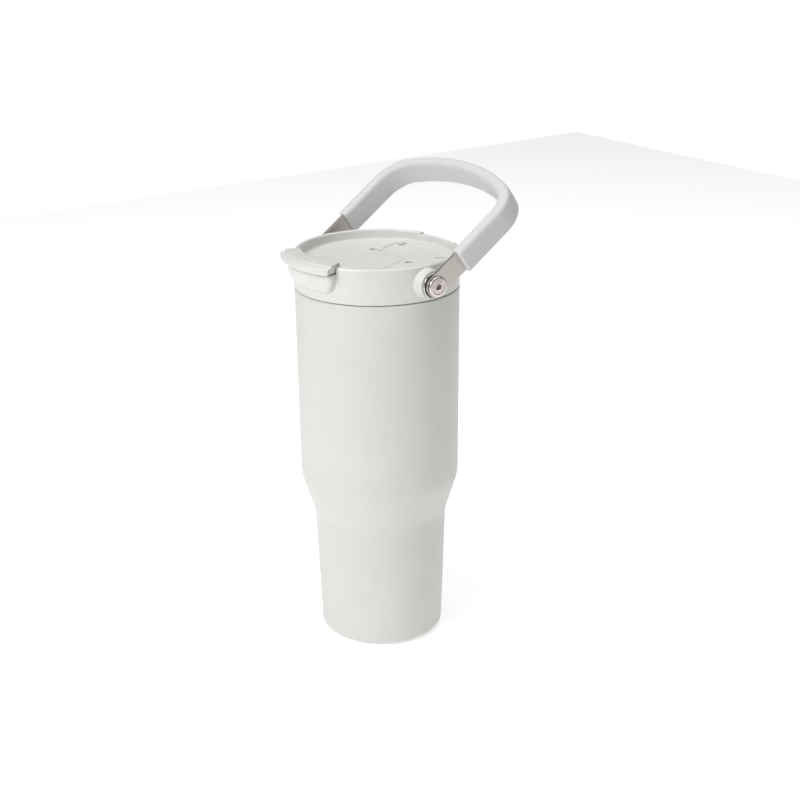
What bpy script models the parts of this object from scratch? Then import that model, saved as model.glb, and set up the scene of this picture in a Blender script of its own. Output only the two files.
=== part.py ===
"""Vacuum-insulated tumbler: steel body, screw-on lid with a flip cover, swing handle.

Origin: body axis on the standing plane. +Z up, -Y drinking side, X along the handle's pivots.
Heights are measured from the standing plane, radii from the body axis. Units are metres.
"""
import math

import bmesh
import bpy
from mathutils import Matrix, Vector

MM = 0.001
BIG_STEPS = 40
SMALL_STEPS = 20
SHARP_ANGLE = math.radians(35)

# Fits
SEAT_GAP = 0.3 * MM
MOVING_GAP = 0.4 * MM
SEAM_GAP = 0.5 * MM
EMBED = 0.4 * MM

# Body shell
BODY_HEIGHT = 204.3 * MM
BODY_RADIUS = 45.0 * MM
BODY_TAPER = 0.7 * MM
CUP_HOLDER_RADIUS = 37.2 * MM
CUP_HOLDER_HEIGHT = 72.65 * MM
SHOULDER_RISE = 22.25 * MM
FOOT_RADIUS = 34.6 * MM
FOOT_LIFT = 0.5 * MM
FOOT_ROUND = 4.0 * MM
WAIST_ROUND = 26.0 * MM
CUP_HOLDER_ROUND = 18.0 * MM
SHELL_WALL = 0.8 * MM
LIP_ROUND = 1.0 * MM

# Liner, base and pad
LINER_WALL = 0.6 * MM
MOUTH_INSET = 3.7 * MM
LIP_WIDTH = 1.0 * MM
VACUUM_GAP = 1.6 * MM
LINER_FLOOR_HEIGHT = 6.2 * MM
LINER_ROUND = 7.0 * MM
BASE_INSET = 4.5 * MM
PAD_THICKNESS = 2.2 * MM
PAD_ROUND = 0.6 * MM
GETTER_RADIUS = 6.0 * MM
GETTER_THICKNESS = 1.3 * MM

# Screw thread between liner and lid
THREAD_PITCH = 4.0 * MM
THREAD_TURNS = 1.25
THREAD_START_BELOW_LIP = 12.8 * MM
THREAD_ROOT_WIDTH = 2.0 * MM
THREAD_CREST_WIDTH = 1.0 * MM
THREAD_RUN_OUT = math.radians(20)
THREAD_DEPTH = 2.0 * MM

# Lid
LID_HEIGHT = 19.3 * MM
RIM_WIDTH = 2.7 * MM
RIM_OUTER_ROUND = 1.6 * MM
RIM_INNER_ROUND = 1.0 * MM
DISH_DEPTH = 5.5 * MM
DECK_THICKNESS = 5.8 * MM
SKIRT_WALL = 2.4 * MM
PLUG_WALL = 1.8 * MM
PLUG_DEPTH = 14.8 * MM
FLANGE_THICKNESS = 1.6 * MM
GASKET_HEIGHT = 3.0 * MM
REAR_NOTCH_HALF_WIDTH = 14.7 * MM
REAR_NOTCH_DEPTH = 1.2 * MM
SEAM_ROUND = 0.4 * MM
PLUG_ROUND = 0.5 * MM
GASKET_ROUND = 0.7 * MM

# Panel and slots behind the hinge, set off from the hinge axis and from the dish wall
REAR_PANEL_DEPTH = 0.6 * MM
REAR_PANEL_SETBACK = 5.2 * MM
REAR_PANEL_MARGIN = 5.9 * MM
REAR_PANEL_FRONT_HALF = 16.5 * MM
REAR_PANEL_BACK_HALF = 25.0 * MM
REAR_PANEL_FRONT_ROUND = 3.0 * MM
REAR_PANEL_BACK_ROUND = 5.0 * MM
REAR_SLOT_SIDE = 18.2 * MM
REAR_SLOT_MARGIN = 11.8 * MM
REAR_SLOT_HALF_LENGTH = 1.8 * MM
REAR_SLOT_RADIUS = 1.8 * MM
REAR_SLOT_DEPTH = 2.4 * MM
REAR_SLOT_TURN = math.radians(75)

# Spout and flip cover
SPOUT_HALF_WIDTH = 20.9 * MM
SPOUT_FLARE = 3.8 * MM
SPOUT_LIP_DROP = 3.6 * MM
SPOUT_FLARE_HEIGHT = 11.4 * MM
SPOUT_FRAME_RISE = 0.2 * MM
SPOUT_CORNER_ROUND = 9.0 * MM
SPOUT_EDGE = 0.7 * MM
COVER_THICKNESS = 2.0 * MM
TAB_RISE = 1.9 * MM
TAB_STEP = 1.6 * MM
TAB_LEDGE_OUT = 0.8 * MM
TAB_OVERHANG = 3.4 * MM
TAB_INSET = 1.5 * MM
TAB_END_ROUND = 1.4 * MM
DRINK_HOLE_MARGIN = 13.3 * MM
DRINK_HOLE_HALF_LENGTH = 8.0 * MM
DRINK_HOLE_RADIUS = 5.0 * MM
PLUG_PAD_DEPTH = 2.2 * MM
HINGE_SETBACK = 9.8 * MM
HINGE_HALF_WIDTH = 12.6 * MM
HINGE_BARREL_RADIUS = 1.6 * MM
HINGE_PIN_RADIUS = 0.7 * MM
HINGE_OPENING = math.radians(100)
HINGE_LUG = 1.6 * MM
HINGE_PIN_OVERHANG = 1.2 * MM
HINGE_POCKET_RADIUS = 2.45 * MM
HINGE_POCKET_DEPTH = 2.0 * MM
BARREL_DROP = 0.05 * MM
PIN_FIT = 0.1 * MM
COVER_FLARE = 0.4
COVER_NECK_LENGTH = 2.3 * MM
COVER_NECK_ROUND = 6.0 * MM

# Handle pivots, stacked outwards from each boss along X
PIVOT_SETBACK = 1.0 * MM
BOSS_ABOVE_SEAM = 2.0 * MM
BOSS_RADIUS = 7.8 * MM
BOSS_STAND_OUT = 5.5 * MM
BOSS_ROUND = 0.5 * MM
CUP_INSET = 0.9 * MM
CUP_WALL = 0.5 * MM
WASHER_THICKNESS = 0.6 * MM
BRACKET_THICKNESS = 1.6 * MM
BRACKET_WIDTH = 12.2 * MM
SCREW_HEAD_RADIUS = 5.6 * MM
SCREW_HEAD_THICKNESS = 1.2 * MM
SCREW_SHOULDER_RADIUS = 2.6 * MM
SCREW_SHANK_RADIUS = 1.65 * MM
SCREW_SOCKET_RADIUS = 1.9 * MM
SCREW_SOCKET_DEPTH = 2.0 * MM
INSERT_RADIUS = 3.0 * MM

# Handle
HANDLE_TILT = math.radians(55)
HANDLE_LEG = 49.1 * MM
HANDLE_CORNER_RADIUS = 21.3 * MM
HANDLE_CROWN_RADIUS = 122.3 * MM
GRIP_START = 19.0 * MM
GRIP_OUTSIDE = 3.4 * MM
GRIP_INSIDE = 2.3 * MM
GRIP_SIDE = 1.2 * MM
GRIP_ROUND = 2.4 * MM

# Heights and radii that follow from the sizes above
WAIST_RADIUS = BODY_RADIUS - BODY_TAPER
WAIST_HEIGHT = CUP_HOLDER_HEIGHT + SHOULDER_RISE
MOUTH_RADIUS = BODY_RADIUS - MOUTH_INSET
BASE_RADIUS = FOOT_RADIUS - BASE_INSET
PLUG_RADIUS = MOUTH_RADIUS - MOVING_GAP - THREAD_DEPTH
SEAM = BODY_HEIGHT + SEAM_GAP
RIM_TOP = SEAM + LID_HEIGHT
DISH_FLOOR = RIM_TOP - DISH_DEPTH
DECK_UNDERSIDE = DISH_FLOOR - DECK_THICKNESS
DISH_RADIUS = BODY_RADIUS - RIM_WIDTH
SKIRT_INNER = BODY_RADIUS - SKIRT_WALL
COVER_UNDERSIDE = DISH_FLOOR - COVER_THICKNESS
COVER_SEAT = COVER_UNDERSIDE - MOVING_GAP
COVER_RADIUS = DISH_RADIUS - MOVING_GAP
SPOUT_LIP_RADIUS = BODY_RADIUS + SPOUT_FLARE
TAB_LEDGE_RADIUS = SPOUT_LIP_RADIUS + TAB_LEDGE_OUT
TAB_TIP_RADIUS = SPOUT_LIP_RADIUS + TAB_OVERHANG
TAB_INNER_RADIUS = DISH_RADIUS - TAB_INSET
DRINK_HOLE_CENTRE = DISH_RADIUS - DRINK_HOLE_MARGIN
SPOUT_LIP = RIM_TOP - SPOUT_LIP_DROP
SPOUT_ROOT = SPOUT_LIP - SPOUT_FLARE_HEIGHT
TAB_TOP = RIM_TOP + TAB_RISE
TAB_UNDERSIDE = SPOUT_LIP + SEAM_GAP
HINGE_HEIGHT = DISH_FLOOR - HINGE_BARREL_RADIUS - BARREL_DROP
PIVOT_HEIGHT = SEAM + BOSS_ABOVE_SEAM + BOSS_RADIUS
THREAD_BOTTOM = BODY_HEIGHT - THREAD_START_BELOW_LIP
BOSS_FACE = BODY_RADIUS + BOSS_STAND_OUT
CUP_RADIUS = BOSS_RADIUS - CUP_INSET
CUP_BASE = BOSS_FACE + SEAT_GAP
WASHER_BASE = CUP_BASE + CUP_WALL + SEAT_GAP
BRACKET_BASE = WASHER_BASE + WASHER_THICKNESS + SEAT_GAP
HEAD_BASE = BRACKET_BASE + BRACKET_THICKNESS + SEAT_GAP
INSERT_START = BODY_RADIUS + SEAT_GAP
INSERT_TOP = BOSS_FACE - SEAT_GAP
PIVOT_HOLE = SCREW_SHOULDER_RADIUS + SEAT_GAP
HANDLE_HALF_SPAN = BRACKET_BASE + BRACKET_THICKNESS + GRIP_OUTSIDE
GRIP_THICKNESS = GRIP_OUTSIDE + BRACKET_THICKNESS + GRIP_INSIDE
GRIP_WIDTH = BRACKET_WIDTH + 2 * GRIP_SIDE
CUT_OVER = RIM_TOP + 5 * MM
CUT_NEAR = 0.6 * BODY_RADIUS
CUT_FAR = 1.4 * BODY_RADIUS


def material(name, colour, roughness, metallic=0.0):
    made = bpy.data.materials.new(name)
    made.use_nodes = True
    surface = made.node_tree.nodes["Principled BSDF"]
    surface.inputs["Base Color"].default_value = (*colour, 1.0)
    surface.inputs["Roughness"].default_value = roughness
    surface.inputs["Metallic"].default_value = metallic
    return made


def clear_scene():
    for thing in list(bpy.data.objects):
        bpy.data.objects.remove(thing)


def empty(name, location, parent=None):
    made = bpy.data.objects.new(name, None)
    made.empty_display_size = 0.01
    made.location = location
    made.parent = parent
    bpy.context.scene.collection.objects.link(made)
    return made


def show(name, mesh, skin, parent=None, location=(0, 0, 0), rotation=(0, 0, 0)):
    """Put a mesh in the scene under its own name and material."""
    if not mesh.materials:
        mesh.materials.append(skin)
        mesh.shade_smooth()
        mesh.set_sharp_from_angle(angle=SHARP_ANGLE)
    made = bpy.data.objects.new(name, mesh)
    made.parent = parent
    made.location = location
    made.rotation_euler = rotation
    bpy.context.scene.collection.objects.link(made)
    return made


def helper(name, mesh, parent=None, location=(0, 0, 0), rotation=(0, 0, 0)):
    """A shape that a Boolean reads; it is no part of the object itself."""
    made = bpy.data.objects.new(name, mesh)
    made.parent = parent
    made.location = location
    made.rotation_euler = rotation
    made.hide_render = True
    made.display_type = "WIRE"
    bpy.context.scene.collection.objects.link(made)
    return made


def combine(target, other, operation):
    step = target.modifiers.new(other.name, "BOOLEAN")
    step.operation = operation
    step.object = other
    step.solver = "EXACT"


def mesh_from(name, points, faces):
    mesh = bpy.data.meshes.new(name)
    shape = bmesh.new()
    corners = [shape.verts.new(point) for point in points]
    for face in faces:
        shape.faces.new([corners[index] for index in face])
    bmesh.ops.recalc_face_normals(shape, faces=shape.faces)
    shape.to_mesh(mesh)
    shape.free()
    return mesh


def rounded(corners, closed=True, step=math.radians(14)):
    """Points along a 2-D outline whose corners are (x, y, fillet radius)."""
    points = []
    count = len(corners)
    for index, (x, y, radius) in enumerate(corners):
        here = Vector((x, y))
        at_end = not closed and index in (0, count - 1)
        if at_end or radius == 0:
            points.append((x, y))
            continue
        before = (Vector(corners[index - 1][:2]) - here).normalized()
        after = (Vector(corners[(index + 1) % count][:2]) - here).normalized()
        half = before.angle(after) / 2
        centre = here + (before + after).normalized() * radius / math.sin(half)
        start = here + before * radius / math.tan(half) - centre
        turn = math.pi - 2 * half
        if before.cross(after) > 0:
            turn = -turn
        steps = max(2, round(abs(turn) / step))
        for k in range(steps + 1):
            spoke = start.copy()
            spoke.rotate(Matrix.Rotation(turn * k / steps, 2))
            points.append(tuple(centre + spoke))
    return points


def inset(path, distance):
    """An open path moved sideways, to the right of its direction."""
    moved = []
    for index, point in enumerate(path):
        here = Vector(point)
        sides = []
        if index > 0:
            sides.append((here - Vector(path[index - 1])).normalized())
        if index < len(path) - 1:
            sides.append((Vector(path[index + 1]) - here).normalized())
        normals = [Vector((side.y, -side.x)) for side in sides]
        middle = sum(normals, Vector((0, 0))).normalized()
        moved.append(tuple(here + middle * distance / middle.dot(normals[0])))
    return moved


def turned(name, profile, steps=BIG_STEPS):
    """Revolve a closed (radius, height) outline round Z; radius 0 meets the axis."""
    points = []
    rings = []
    for radius, height in profile:
        if radius < 1e-9:
            rings.append([len(points)] * steps)
            points.append((0, 0, height))
            continue
        rings.append(list(range(len(points), len(points) + steps)))
        for k in range(steps):
            angle = math.tau * k / steps
            points.append((radius * math.cos(angle), radius * math.sin(angle), height))
    faces = []
    for first, second in zip(rings, rings[1:] + rings[:1]):
        for k in range(steps):
            j = (k + 1) % steps
            corners = dict.fromkeys((first[k], first[j], second[j], second[k]))
            if len(corners) > 2:
                faces.append(tuple(corners))
    return mesh_from(name, points, faces)


def swept_sector(name, profile, half_angle, steps):
    """Revolve a closed (radius, height) outline through an arc centred on -Y."""
    points = []
    size = len(profile)
    for k in range(steps + 1):
        angle = -math.pi / 2 + half_angle * (2 * k / steps - 1)
        points += [(r * math.cos(angle), r * math.sin(angle), z) for r, z in profile]
    faces = [tuple(range(size)), tuple(range(steps * size, (steps + 1) * size))]
    for k in range(steps):
        for i in range(size):
            j = (i + 1) % size
            faces.append((k * size + i, k * size + j, (k + 1) * size + j, (k + 1) * size + i))
    return mesh_from(name, points, faces)


def front_sector(name, profile):
    """A sector a little wider than the spout, for a frame to trim."""
    nearest = min(radius for radius, height in profile)
    return swept_sector(name, profile, math.asin(SPOUT_HALF_WIDTH / nearest) + math.radians(1.5), 12)


def extruded(name, outline, bottom, top, turn=None):
    """A straight prism over a 2-D outline, from bottom to top along Z."""
    size = len(outline)
    points = [(x, y, bottom) for x, y in outline] + [(x, y, top) for x, y in outline]
    faces = [tuple(range(size)), tuple(range(size, 2 * size))]
    for i in range(size):
        j = (i + 1) % size
        faces.append((i, j, size + j, size + i))
    mesh = mesh_from(name, points, faces)
    if turn:
        mesh.transform(turn)
    return mesh


def fanned(mesh):
    """Make the sides of a prism in front of the axis radial: widths hold at the lid's wall and grow forwards."""
    depth = math.sqrt(BODY_RADIUS ** 2 - SPOUT_HALF_WIDTH ** 2)
    for vertex in mesh.vertices:
        vertex.co.x *= -vertex.co.y / depth
    shape = bmesh.new()
    shape.from_mesh(mesh)
    bmesh.ops.triangulate(shape, faces=shape.faces)
    shape.to_mesh(mesh)
    shape.free()
    return mesh


def facing_x():
    """Turn a prism drawn over (y, z) so that it runs along X."""
    return Matrix(((0, 0, 1, 0), (1, 0, 0, 0), (0, 1, 0, 0), (0, 0, 0, 1)))


def circle(radius, steps=SMALL_STEPS, centre=(0, 0)):
    return [
        (centre[0] + radius * math.cos(math.tau * k / steps),
         centre[1] + radius * math.sin(math.tau * k / steps))
        for k in range(steps)
    ]


def rectangle(half_x, y_low, y_high):
    return [(-half_x, y_low), (half_x, y_low), (half_x, y_high), (-half_x, y_high)]


def stadium(half_length, radius, centre_y):
    """A slot along X with round ends."""
    corner = 0.999 * radius
    wide = half_length + radius
    return rounded([
        (-wide, centre_y - radius, corner), (wide, centre_y - radius, corner),
        (wide, centre_y + radius, corner), (-wide, centre_y + radius, corner),
    ], step=math.radians(18))


def thread_ridge(name, root, crest, bottom):
    """A right-hand helical ridge whose height runs out at both ends."""
    steps = round(BIG_STEPS * THREAD_TURNS)
    span = math.tau * THREAD_TURNS
    points = []
    for k in range(steps + 1):
        angle = span * k / steps
        fade = min(1.0, 0.02 + angle / THREAD_RUN_OUT, 0.02 + (span - angle) / THREAD_RUN_OUT)
        middle = bottom + THREAD_PITCH * angle / math.tau
        tip = root + (crest - root) * fade
        for radius, rise in (
            (root, -THREAD_ROOT_WIDTH / 2), (tip, -THREAD_CREST_WIDTH / 2),
            (tip, THREAD_CREST_WIDTH / 2), (root, THREAD_ROOT_WIDTH / 2),
        ):
            points.append((radius * math.cos(angle), radius * math.sin(angle), middle + rise))
    faces = [(0, 1, 2, 3), tuple(4 * steps + i for i in range(4))]
    for k in range(steps):
        for i in range(4):
            j = (i + 1) % 4
            faces.append((4 * k + i, 4 * k + j, 4 * k + 4 + j, 4 * k + 4 + i))
    return mesh_from(name, points, faces)


# Vessel

def body_outline():
    """Outer face of the shell, from the lip down to the edge of the base recess."""
    recess = BASE_RADIUS + SEAT_GAP
    return rounded([
        (MOUTH_RADIUS + LIP_WIDTH + SEAT_GAP, BODY_HEIGHT, 0),
        (BODY_RADIUS, BODY_HEIGHT, LIP_ROUND),
        (WAIST_RADIUS, WAIST_HEIGHT, WAIST_ROUND),
        (CUP_HOLDER_RADIUS, CUP_HOLDER_HEIGHT, CUP_HOLDER_ROUND),
        (FOOT_RADIUS, FOOT_LIFT, FOOT_ROUND),
        (recess, FOOT_LIFT, 0),
        (recess, PAD_THICKNESS + SEAT_GAP + SHELL_WALL, 0),
    ], closed=False, step=math.radians(45))


def add_outer_shell(skin):
    outer = body_outline()
    inner = inset(outer, SHELL_WALL)
    show("outer_shell", turned("outer_shell", outer + inner[::-1]), skin)


def add_inner_vessel(skin):
    outer_radius = MOUTH_RADIUS + LINER_WALL
    slimmer = SHELL_WALL + VACUUM_GAP
    outer = rounded([
        (outer_radius, BODY_HEIGHT - SHELL_WALL, 0),
        (outer_radius, WAIST_HEIGHT, WAIST_ROUND),
        (CUP_HOLDER_RADIUS - slimmer, CUP_HOLDER_HEIGHT, CUP_HOLDER_ROUND),
        (FOOT_RADIUS - slimmer, LINER_FLOOR_HEIGHT, LINER_ROUND),
        (0, LINER_FLOOR_HEIGHT, 0),
    ], closed=False, step=math.radians(45))
    inner = inset(outer, LINER_WALL)
    inner[-1] = (0, LINER_FLOOR_HEIGHT + LINER_WALL)
    lip = [
        (MOUTH_RADIUS, BODY_HEIGHT),
        (MOUTH_RADIUS + LIP_WIDTH, BODY_HEIGHT),
        (MOUTH_RADIUS + LIP_WIDTH, BODY_HEIGHT - SHELL_WALL),
    ]
    vessel = show("inner_vessel", turned("inner_vessel", lip + outer + inner[:0:-1]), skin)
    ridge = thread_ridge(
        "liner_thread", MOUTH_RADIUS + EMBED, MOUTH_RADIUS - THREAD_DEPTH + MOVING_GAP,
        THREAD_BOTTOM)
    combine(vessel, helper("liner_thread", ridge), "UNION")


def add_base(steel, silicone, getter_skin):
    pan_bottom = PAD_THICKNESS + SEAT_GAP
    pan = [(0, pan_bottom), (BASE_RADIUS, pan_bottom),
           (BASE_RADIUS, pan_bottom + SHELL_WALL), (0, pan_bottom + SHELL_WALL)]
    show("shell_bottom", turned("shell_bottom", pan), steel)
    pad = rounded([
        (0, 0, 0), (BASE_RADIUS, 0, PAD_ROUND),
        (BASE_RADIUS, PAD_THICKNESS, 0), (0, PAD_THICKNESS, 0),
    ], step=math.radians(45))
    show("base_pad", turned("base_pad", pad), silicone)
    getter_top = LINER_FLOOR_HEIGHT - SEAT_GAP
    getter = [(0, getter_top - GETTER_THICKNESS), (GETTER_RADIUS, getter_top - GETTER_THICKNESS),
              (GETTER_RADIUS, getter_top), (0, getter_top)]
    show("getter", turned("getter", getter, SMALL_STEPS), getter_skin)


# Lid

def cover_outline(gap):
    """Plan of the flip cover: a neck at the hinge, flaring straight to the dish wall."""
    neck = HINGE_HALF_WIDTH + gap
    neck_end = HINGE_SETBACK - COVER_NECK_LENGTH
    radius = COVER_RADIUS + gap
    # Where the flaring side meets the circle: |(neck + flare * t, neck_end - t)| = radius
    a = 1 + COVER_FLARE ** 2
    b = COVER_FLARE * neck - neck_end
    c = neck ** 2 + neck_end ** 2 - radius ** 2
    reach = (-b + math.sqrt(b * b - a * c)) / a
    corner = (neck + COVER_FLARE * reach, neck_end - reach)
    start = math.atan2(corner[1], corner[0])
    sweep = -math.pi - 2 * start
    side = rounded([
        (neck, HINGE_SETBACK, 0), (neck, neck_end, COVER_NECK_ROUND), (*corner, 0),
    ], closed=False)
    steps = 20
    front = [
        (radius * math.cos(start + sweep * k / steps), radius * math.sin(start + sweep * k / steps))
        for k in range(1, steps)
    ]
    return side + front + [(-x, y) for x, y in side[::-1]]


def spout_profile():
    """Section of the flared spout wall: its inner side is buried in the lid's wall."""
    buried = BODY_RADIUS - 0.6 * RIM_WIDTH
    start = BODY_RADIUS - EMBED
    flare = SPOUT_LIP_RADIUS - start
    height = SPOUT_FLARE_HEIGHT - SPOUT_EDGE
    wall = [
        (start + flare * math.sin(math.pi / 2 * k / 8),
         SPOUT_ROOT + height * (1 - math.cos(math.pi / 2 * k / 8)))
        for k in range(9)
    ]
    return (
        [(buried, SPOUT_ROOT - 1.0 * MM)] + wall
        + [(SPOUT_LIP_RADIUS - SPOUT_EDGE, SPOUT_LIP), (buried, SPOUT_LIP)]
    )


def cut_spout(lid):
    """Add the flared spout with round lower corners, then lower the rim above it."""
    spout = helper("spout", front_sector("spout", spout_profile()))
    facing = Matrix.Rotation(math.pi / 2, 4, "X")
    side = rounded([
        (-SPOUT_HALF_WIDTH, SPOUT_ROOT + SPOUT_FRAME_RISE, SPOUT_CORNER_ROUND),
        (SPOUT_HALF_WIDTH, SPOUT_ROOT + SPOUT_FRAME_RISE, SPOUT_CORNER_ROUND),
        (SPOUT_HALF_WIDTH, RIM_TOP, 0), (-SPOUT_HALF_WIDTH, RIM_TOP, 0),
    ])
    frame = fanned(extruded("spout_frame", side, CUT_NEAR, CUT_FAR, facing))
    combine(spout, helper("spout_frame", frame), "INTERSECT")
    combine(lid, spout, "UNION")
    opening = rectangle(SPOUT_HALF_WIDTH + MOVING_GAP, -CUT_FAR, -CUT_NEAR)
    cut = fanned(extruded("spout_opening", opening, SPOUT_LIP, CUT_OVER))
    combine(lid, helper("spout_opening", cut), "DIFFERENCE")


def relief_outline():
    """Section (y, z) behind the hinge that lets the cover's top face swing to its stop.

    The face lies one height above the axis; it turns back about the axis by the opening angle.
    """
    height = DISH_FLOOR - HINGE_HEIGHT
    lean = HINGE_OPENING - math.pi / 2
    reach = height + MOVING_GAP
    foot = (HINGE_SETBACK + reach * math.cos(lean), HINGE_HEIGHT - reach * math.sin(lean))
    rise = RIM_TOP - foot[1]
    return [
        (HINGE_SETBACK, foot[1]), foot, (foot[0] + rise * math.tan(lean), RIM_TOP),
        (HINGE_SETBACK, RIM_TOP),
    ]


def cut_cover_seat(lid):
    """Sink the cover's seat, its hinge pocket and the drinking hole into the deck."""
    seat = extruded("cover_seat", cover_outline(MOVING_GAP - 0.01 * MM), COVER_SEAT, CUT_OVER)
    combine(lid, helper("cover_seat", seat), "DIFFERENCE")
    along = Matrix.Rotation(math.pi / 2, 4, "Y")
    half = HINGE_HALF_WIDTH + MOVING_GAP
    trough = extruded("hinge_trough", circle(HINGE_BARREL_RADIUS + MOVING_GAP), -half, half, along)
    combine(lid, helper("hinge_trough", trough, location=(0, HINGE_SETBACK, HINGE_HEIGHT)), "DIFFERENCE")
    relief = extruded("hinge_relief", relief_outline(), -half, half, facing_x())
    combine(lid, helper("hinge_relief", relief), "DIFFERENCE")
    reach = half + HINGE_LUG + 1 * MM
    bore = extruded("hinge_bore", circle(HINGE_PIN_RADIUS + PIN_FIT, 16), -reach, reach, along)
    combine(lid, helper("hinge_bore", bore, location=(0, HINGE_SETBACK, HINGE_HEIGHT)), "DIFFERENCE")
    for side, name in ((-1, "left"), (1, "right")):
        place = (side * (half + HINGE_LUG + HINGE_POCKET_RADIUS), HINGE_SETBACK, 0)
        pocket = extruded("pin_pocket_" + name, circle(HINGE_POCKET_RADIUS, 24), COVER_SEAT - HINGE_POCKET_DEPTH, CUT_OVER)
        combine(lid, helper("pin_pocket_" + name, pocket, location=place), "DIFFERENCE")
    hole = extruded(
        "drink_hole", stadium(DRINK_HOLE_HALF_LENGTH, DRINK_HOLE_RADIUS, -DRINK_HOLE_CENTRE),
        DECK_UNDERSIDE - 2 * MM, CUT_OVER)
    combine(lid, helper("drink_hole", hole), "DIFFERENCE")


def cut_rear_deck(lid):
    """The lowered stretch of rear rim, the shallow panel behind the hinge and its two slots."""
    notch = extruded(
        "rear_notch", rectangle(REAR_NOTCH_HALF_WIDTH, CUT_NEAR, CUT_FAR),
        RIM_TOP - REAR_NOTCH_DEPTH, CUT_OVER)
    combine(lid, helper("rear_notch", notch), "DIFFERENCE")
    front = HINGE_SETBACK + REAR_PANEL_SETBACK
    back = DISH_RADIUS - REAR_PANEL_MARGIN
    outline = rounded([
        (-REAR_PANEL_FRONT_HALF, front, REAR_PANEL_FRONT_ROUND),
        (REAR_PANEL_FRONT_HALF, front, REAR_PANEL_FRONT_ROUND),
        (REAR_PANEL_BACK_HALF, back, REAR_PANEL_BACK_ROUND),
        (-REAR_PANEL_BACK_HALF, back, REAR_PANEL_BACK_ROUND),
    ])
    panel = extruded("rear_panel", outline, DISH_FLOOR - REAR_PANEL_DEPTH, CUT_OVER)
    combine(lid, helper("rear_panel", panel), "DIFFERENCE")
    shape = stadium(REAR_SLOT_HALF_LENGTH, REAR_SLOT_RADIUS, 0)
    for side, name in ((-1, "left"), (1, "right")):
        slot = extruded("rear_slot_" + name, shape, DISH_FLOOR - REAR_SLOT_DEPTH, CUT_OVER)
        place = (side * REAR_SLOT_SIDE, DISH_RADIUS - REAR_SLOT_MARGIN, 0)
        turn = (0, 0, side * REAR_SLOT_TURN)
        combine(lid, helper("rear_slot_" + name, slot, location=place, rotation=turn), "DIFFERENCE")


def add_bosses(lid):
    """Round bosses that carry the handle; the lid's wall closes the hole in each behind its insert."""
    buried = SKIRT_INNER + EMBED
    hole = INSERT_RADIUS + SEAT_GAP
    profile = rounded([
        (hole, buried, 0), (BOSS_RADIUS, buried, 0), (BOSS_RADIUS, BOSS_FACE, BOSS_ROUND),
        (hole, BOSS_FACE, 0),
    ], step=math.radians(30))
    boss = turned("boss", profile, SMALL_STEPS)
    for name, turn in (("left", -math.pi / 2), ("right", math.pi / 2)):
        place = (0, PIVOT_SETBACK, PIVOT_HEIGHT)
        combine(lid, helper("boss_" + name, boss, location=place, rotation=(0, turn, 0)), "UNION")


def add_lid_body(skin, parent):
    profile = rounded([
        (0, DISH_FLOOR, 0), (DISH_RADIUS, DISH_FLOOR, RIM_INNER_ROUND),
        (DISH_RADIUS, RIM_TOP, RIM_INNER_ROUND), (BODY_RADIUS, RIM_TOP, RIM_OUTER_ROUND),
        (BODY_RADIUS, SEAM, SEAM_ROUND), (SKIRT_INNER, SEAM, 0),
        (SKIRT_INNER, DECK_UNDERSIDE, RIM_INNER_ROUND), (0, DECK_UNDERSIDE, 0),
    ], step=math.radians(45))
    lid = show("lid_body", turned("lid_body", profile), skin, parent)
    cut_spout(lid)
    add_bosses(lid)
    cut_cover_seat(lid)
    cut_rear_deck(lid)


def add_lid_liner(skin, parent):
    bottom = SEAM - PLUG_DEPTH
    inner = PLUG_RADIUS - PLUG_WALL
    flange = SKIRT_INNER - SEAT_GAP
    top = DECK_UNDERSIDE - SEAT_GAP
    profile = rounded([
        (inner, bottom, PLUG_ROUND), (PLUG_RADIUS, bottom, PLUG_ROUND), (PLUG_RADIUS, SEAM, 0),
        (flange, SEAM, 0), (flange, SEAM + FLANGE_THICKNESS, 0),
        (PLUG_RADIUS, SEAM + FLANGE_THICKNESS, 0), (PLUG_RADIUS, top, 0), (inner, top, 0),
    ], step=math.radians(45))
    liner = show("lid_liner", turned("lid_liner", profile), skin, parent)
    ridge = thread_ridge(
        "lid_thread", PLUG_RADIUS - EMBED, PLUG_RADIUS + THREAD_DEPTH,
        THREAD_BOTTOM + THREAD_PITCH / 2)
    combine(liner, helper("lid_thread", ridge, parent), "UNION")


def add_lid_gasket(skin):
    inner = PLUG_RADIUS + SEAT_GAP
    outer = MOUTH_RADIUS - SEAT_GAP
    top = SEAM - SEAT_GAP
    profile = rounded([
        (inner, top - GASKET_HEIGHT, 0), (outer, top - GASKET_HEIGHT, GASKET_ROUND),
        (outer, top, GASKET_ROUND), (inner, top, 0),
    ], step=math.radians(45))
    show("lid_gasket", turned("lid_gasket", profile), skin)


# Flip cover

def tab_profile():
    """Section of the raised front: riser, top face, ledge, step and overhanging tip."""
    step = TAB_TOP - TAB_STEP
    return rounded([
        (TAB_INNER_RADIUS - 1.4 * MM, COVER_UNDERSIDE + 0.5 * MM, 0),
        (COVER_RADIUS - 0.1 * MM, COVER_UNDERSIDE + 0.5 * MM, 0),
        (COVER_RADIUS - 0.1 * MM, TAB_UNDERSIDE, 0.4 * MM),
        (TAB_TIP_RADIUS, TAB_UNDERSIDE, 0.8 * MM),
        (TAB_TIP_RADIUS, step, 1.2 * MM),
        (TAB_LEDGE_RADIUS, step, 0.5 * MM),
        (TAB_LEDGE_RADIUS - 0.2 * MM, TAB_TOP, 0.8 * MM),
        (TAB_INNER_RADIUS, TAB_TOP, 0.9 * MM),
        (TAB_INNER_RADIUS - 1.2 * MM, DISH_FLOOR - 0.6 * MM, 0),
    ], step=math.radians(30))


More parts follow.
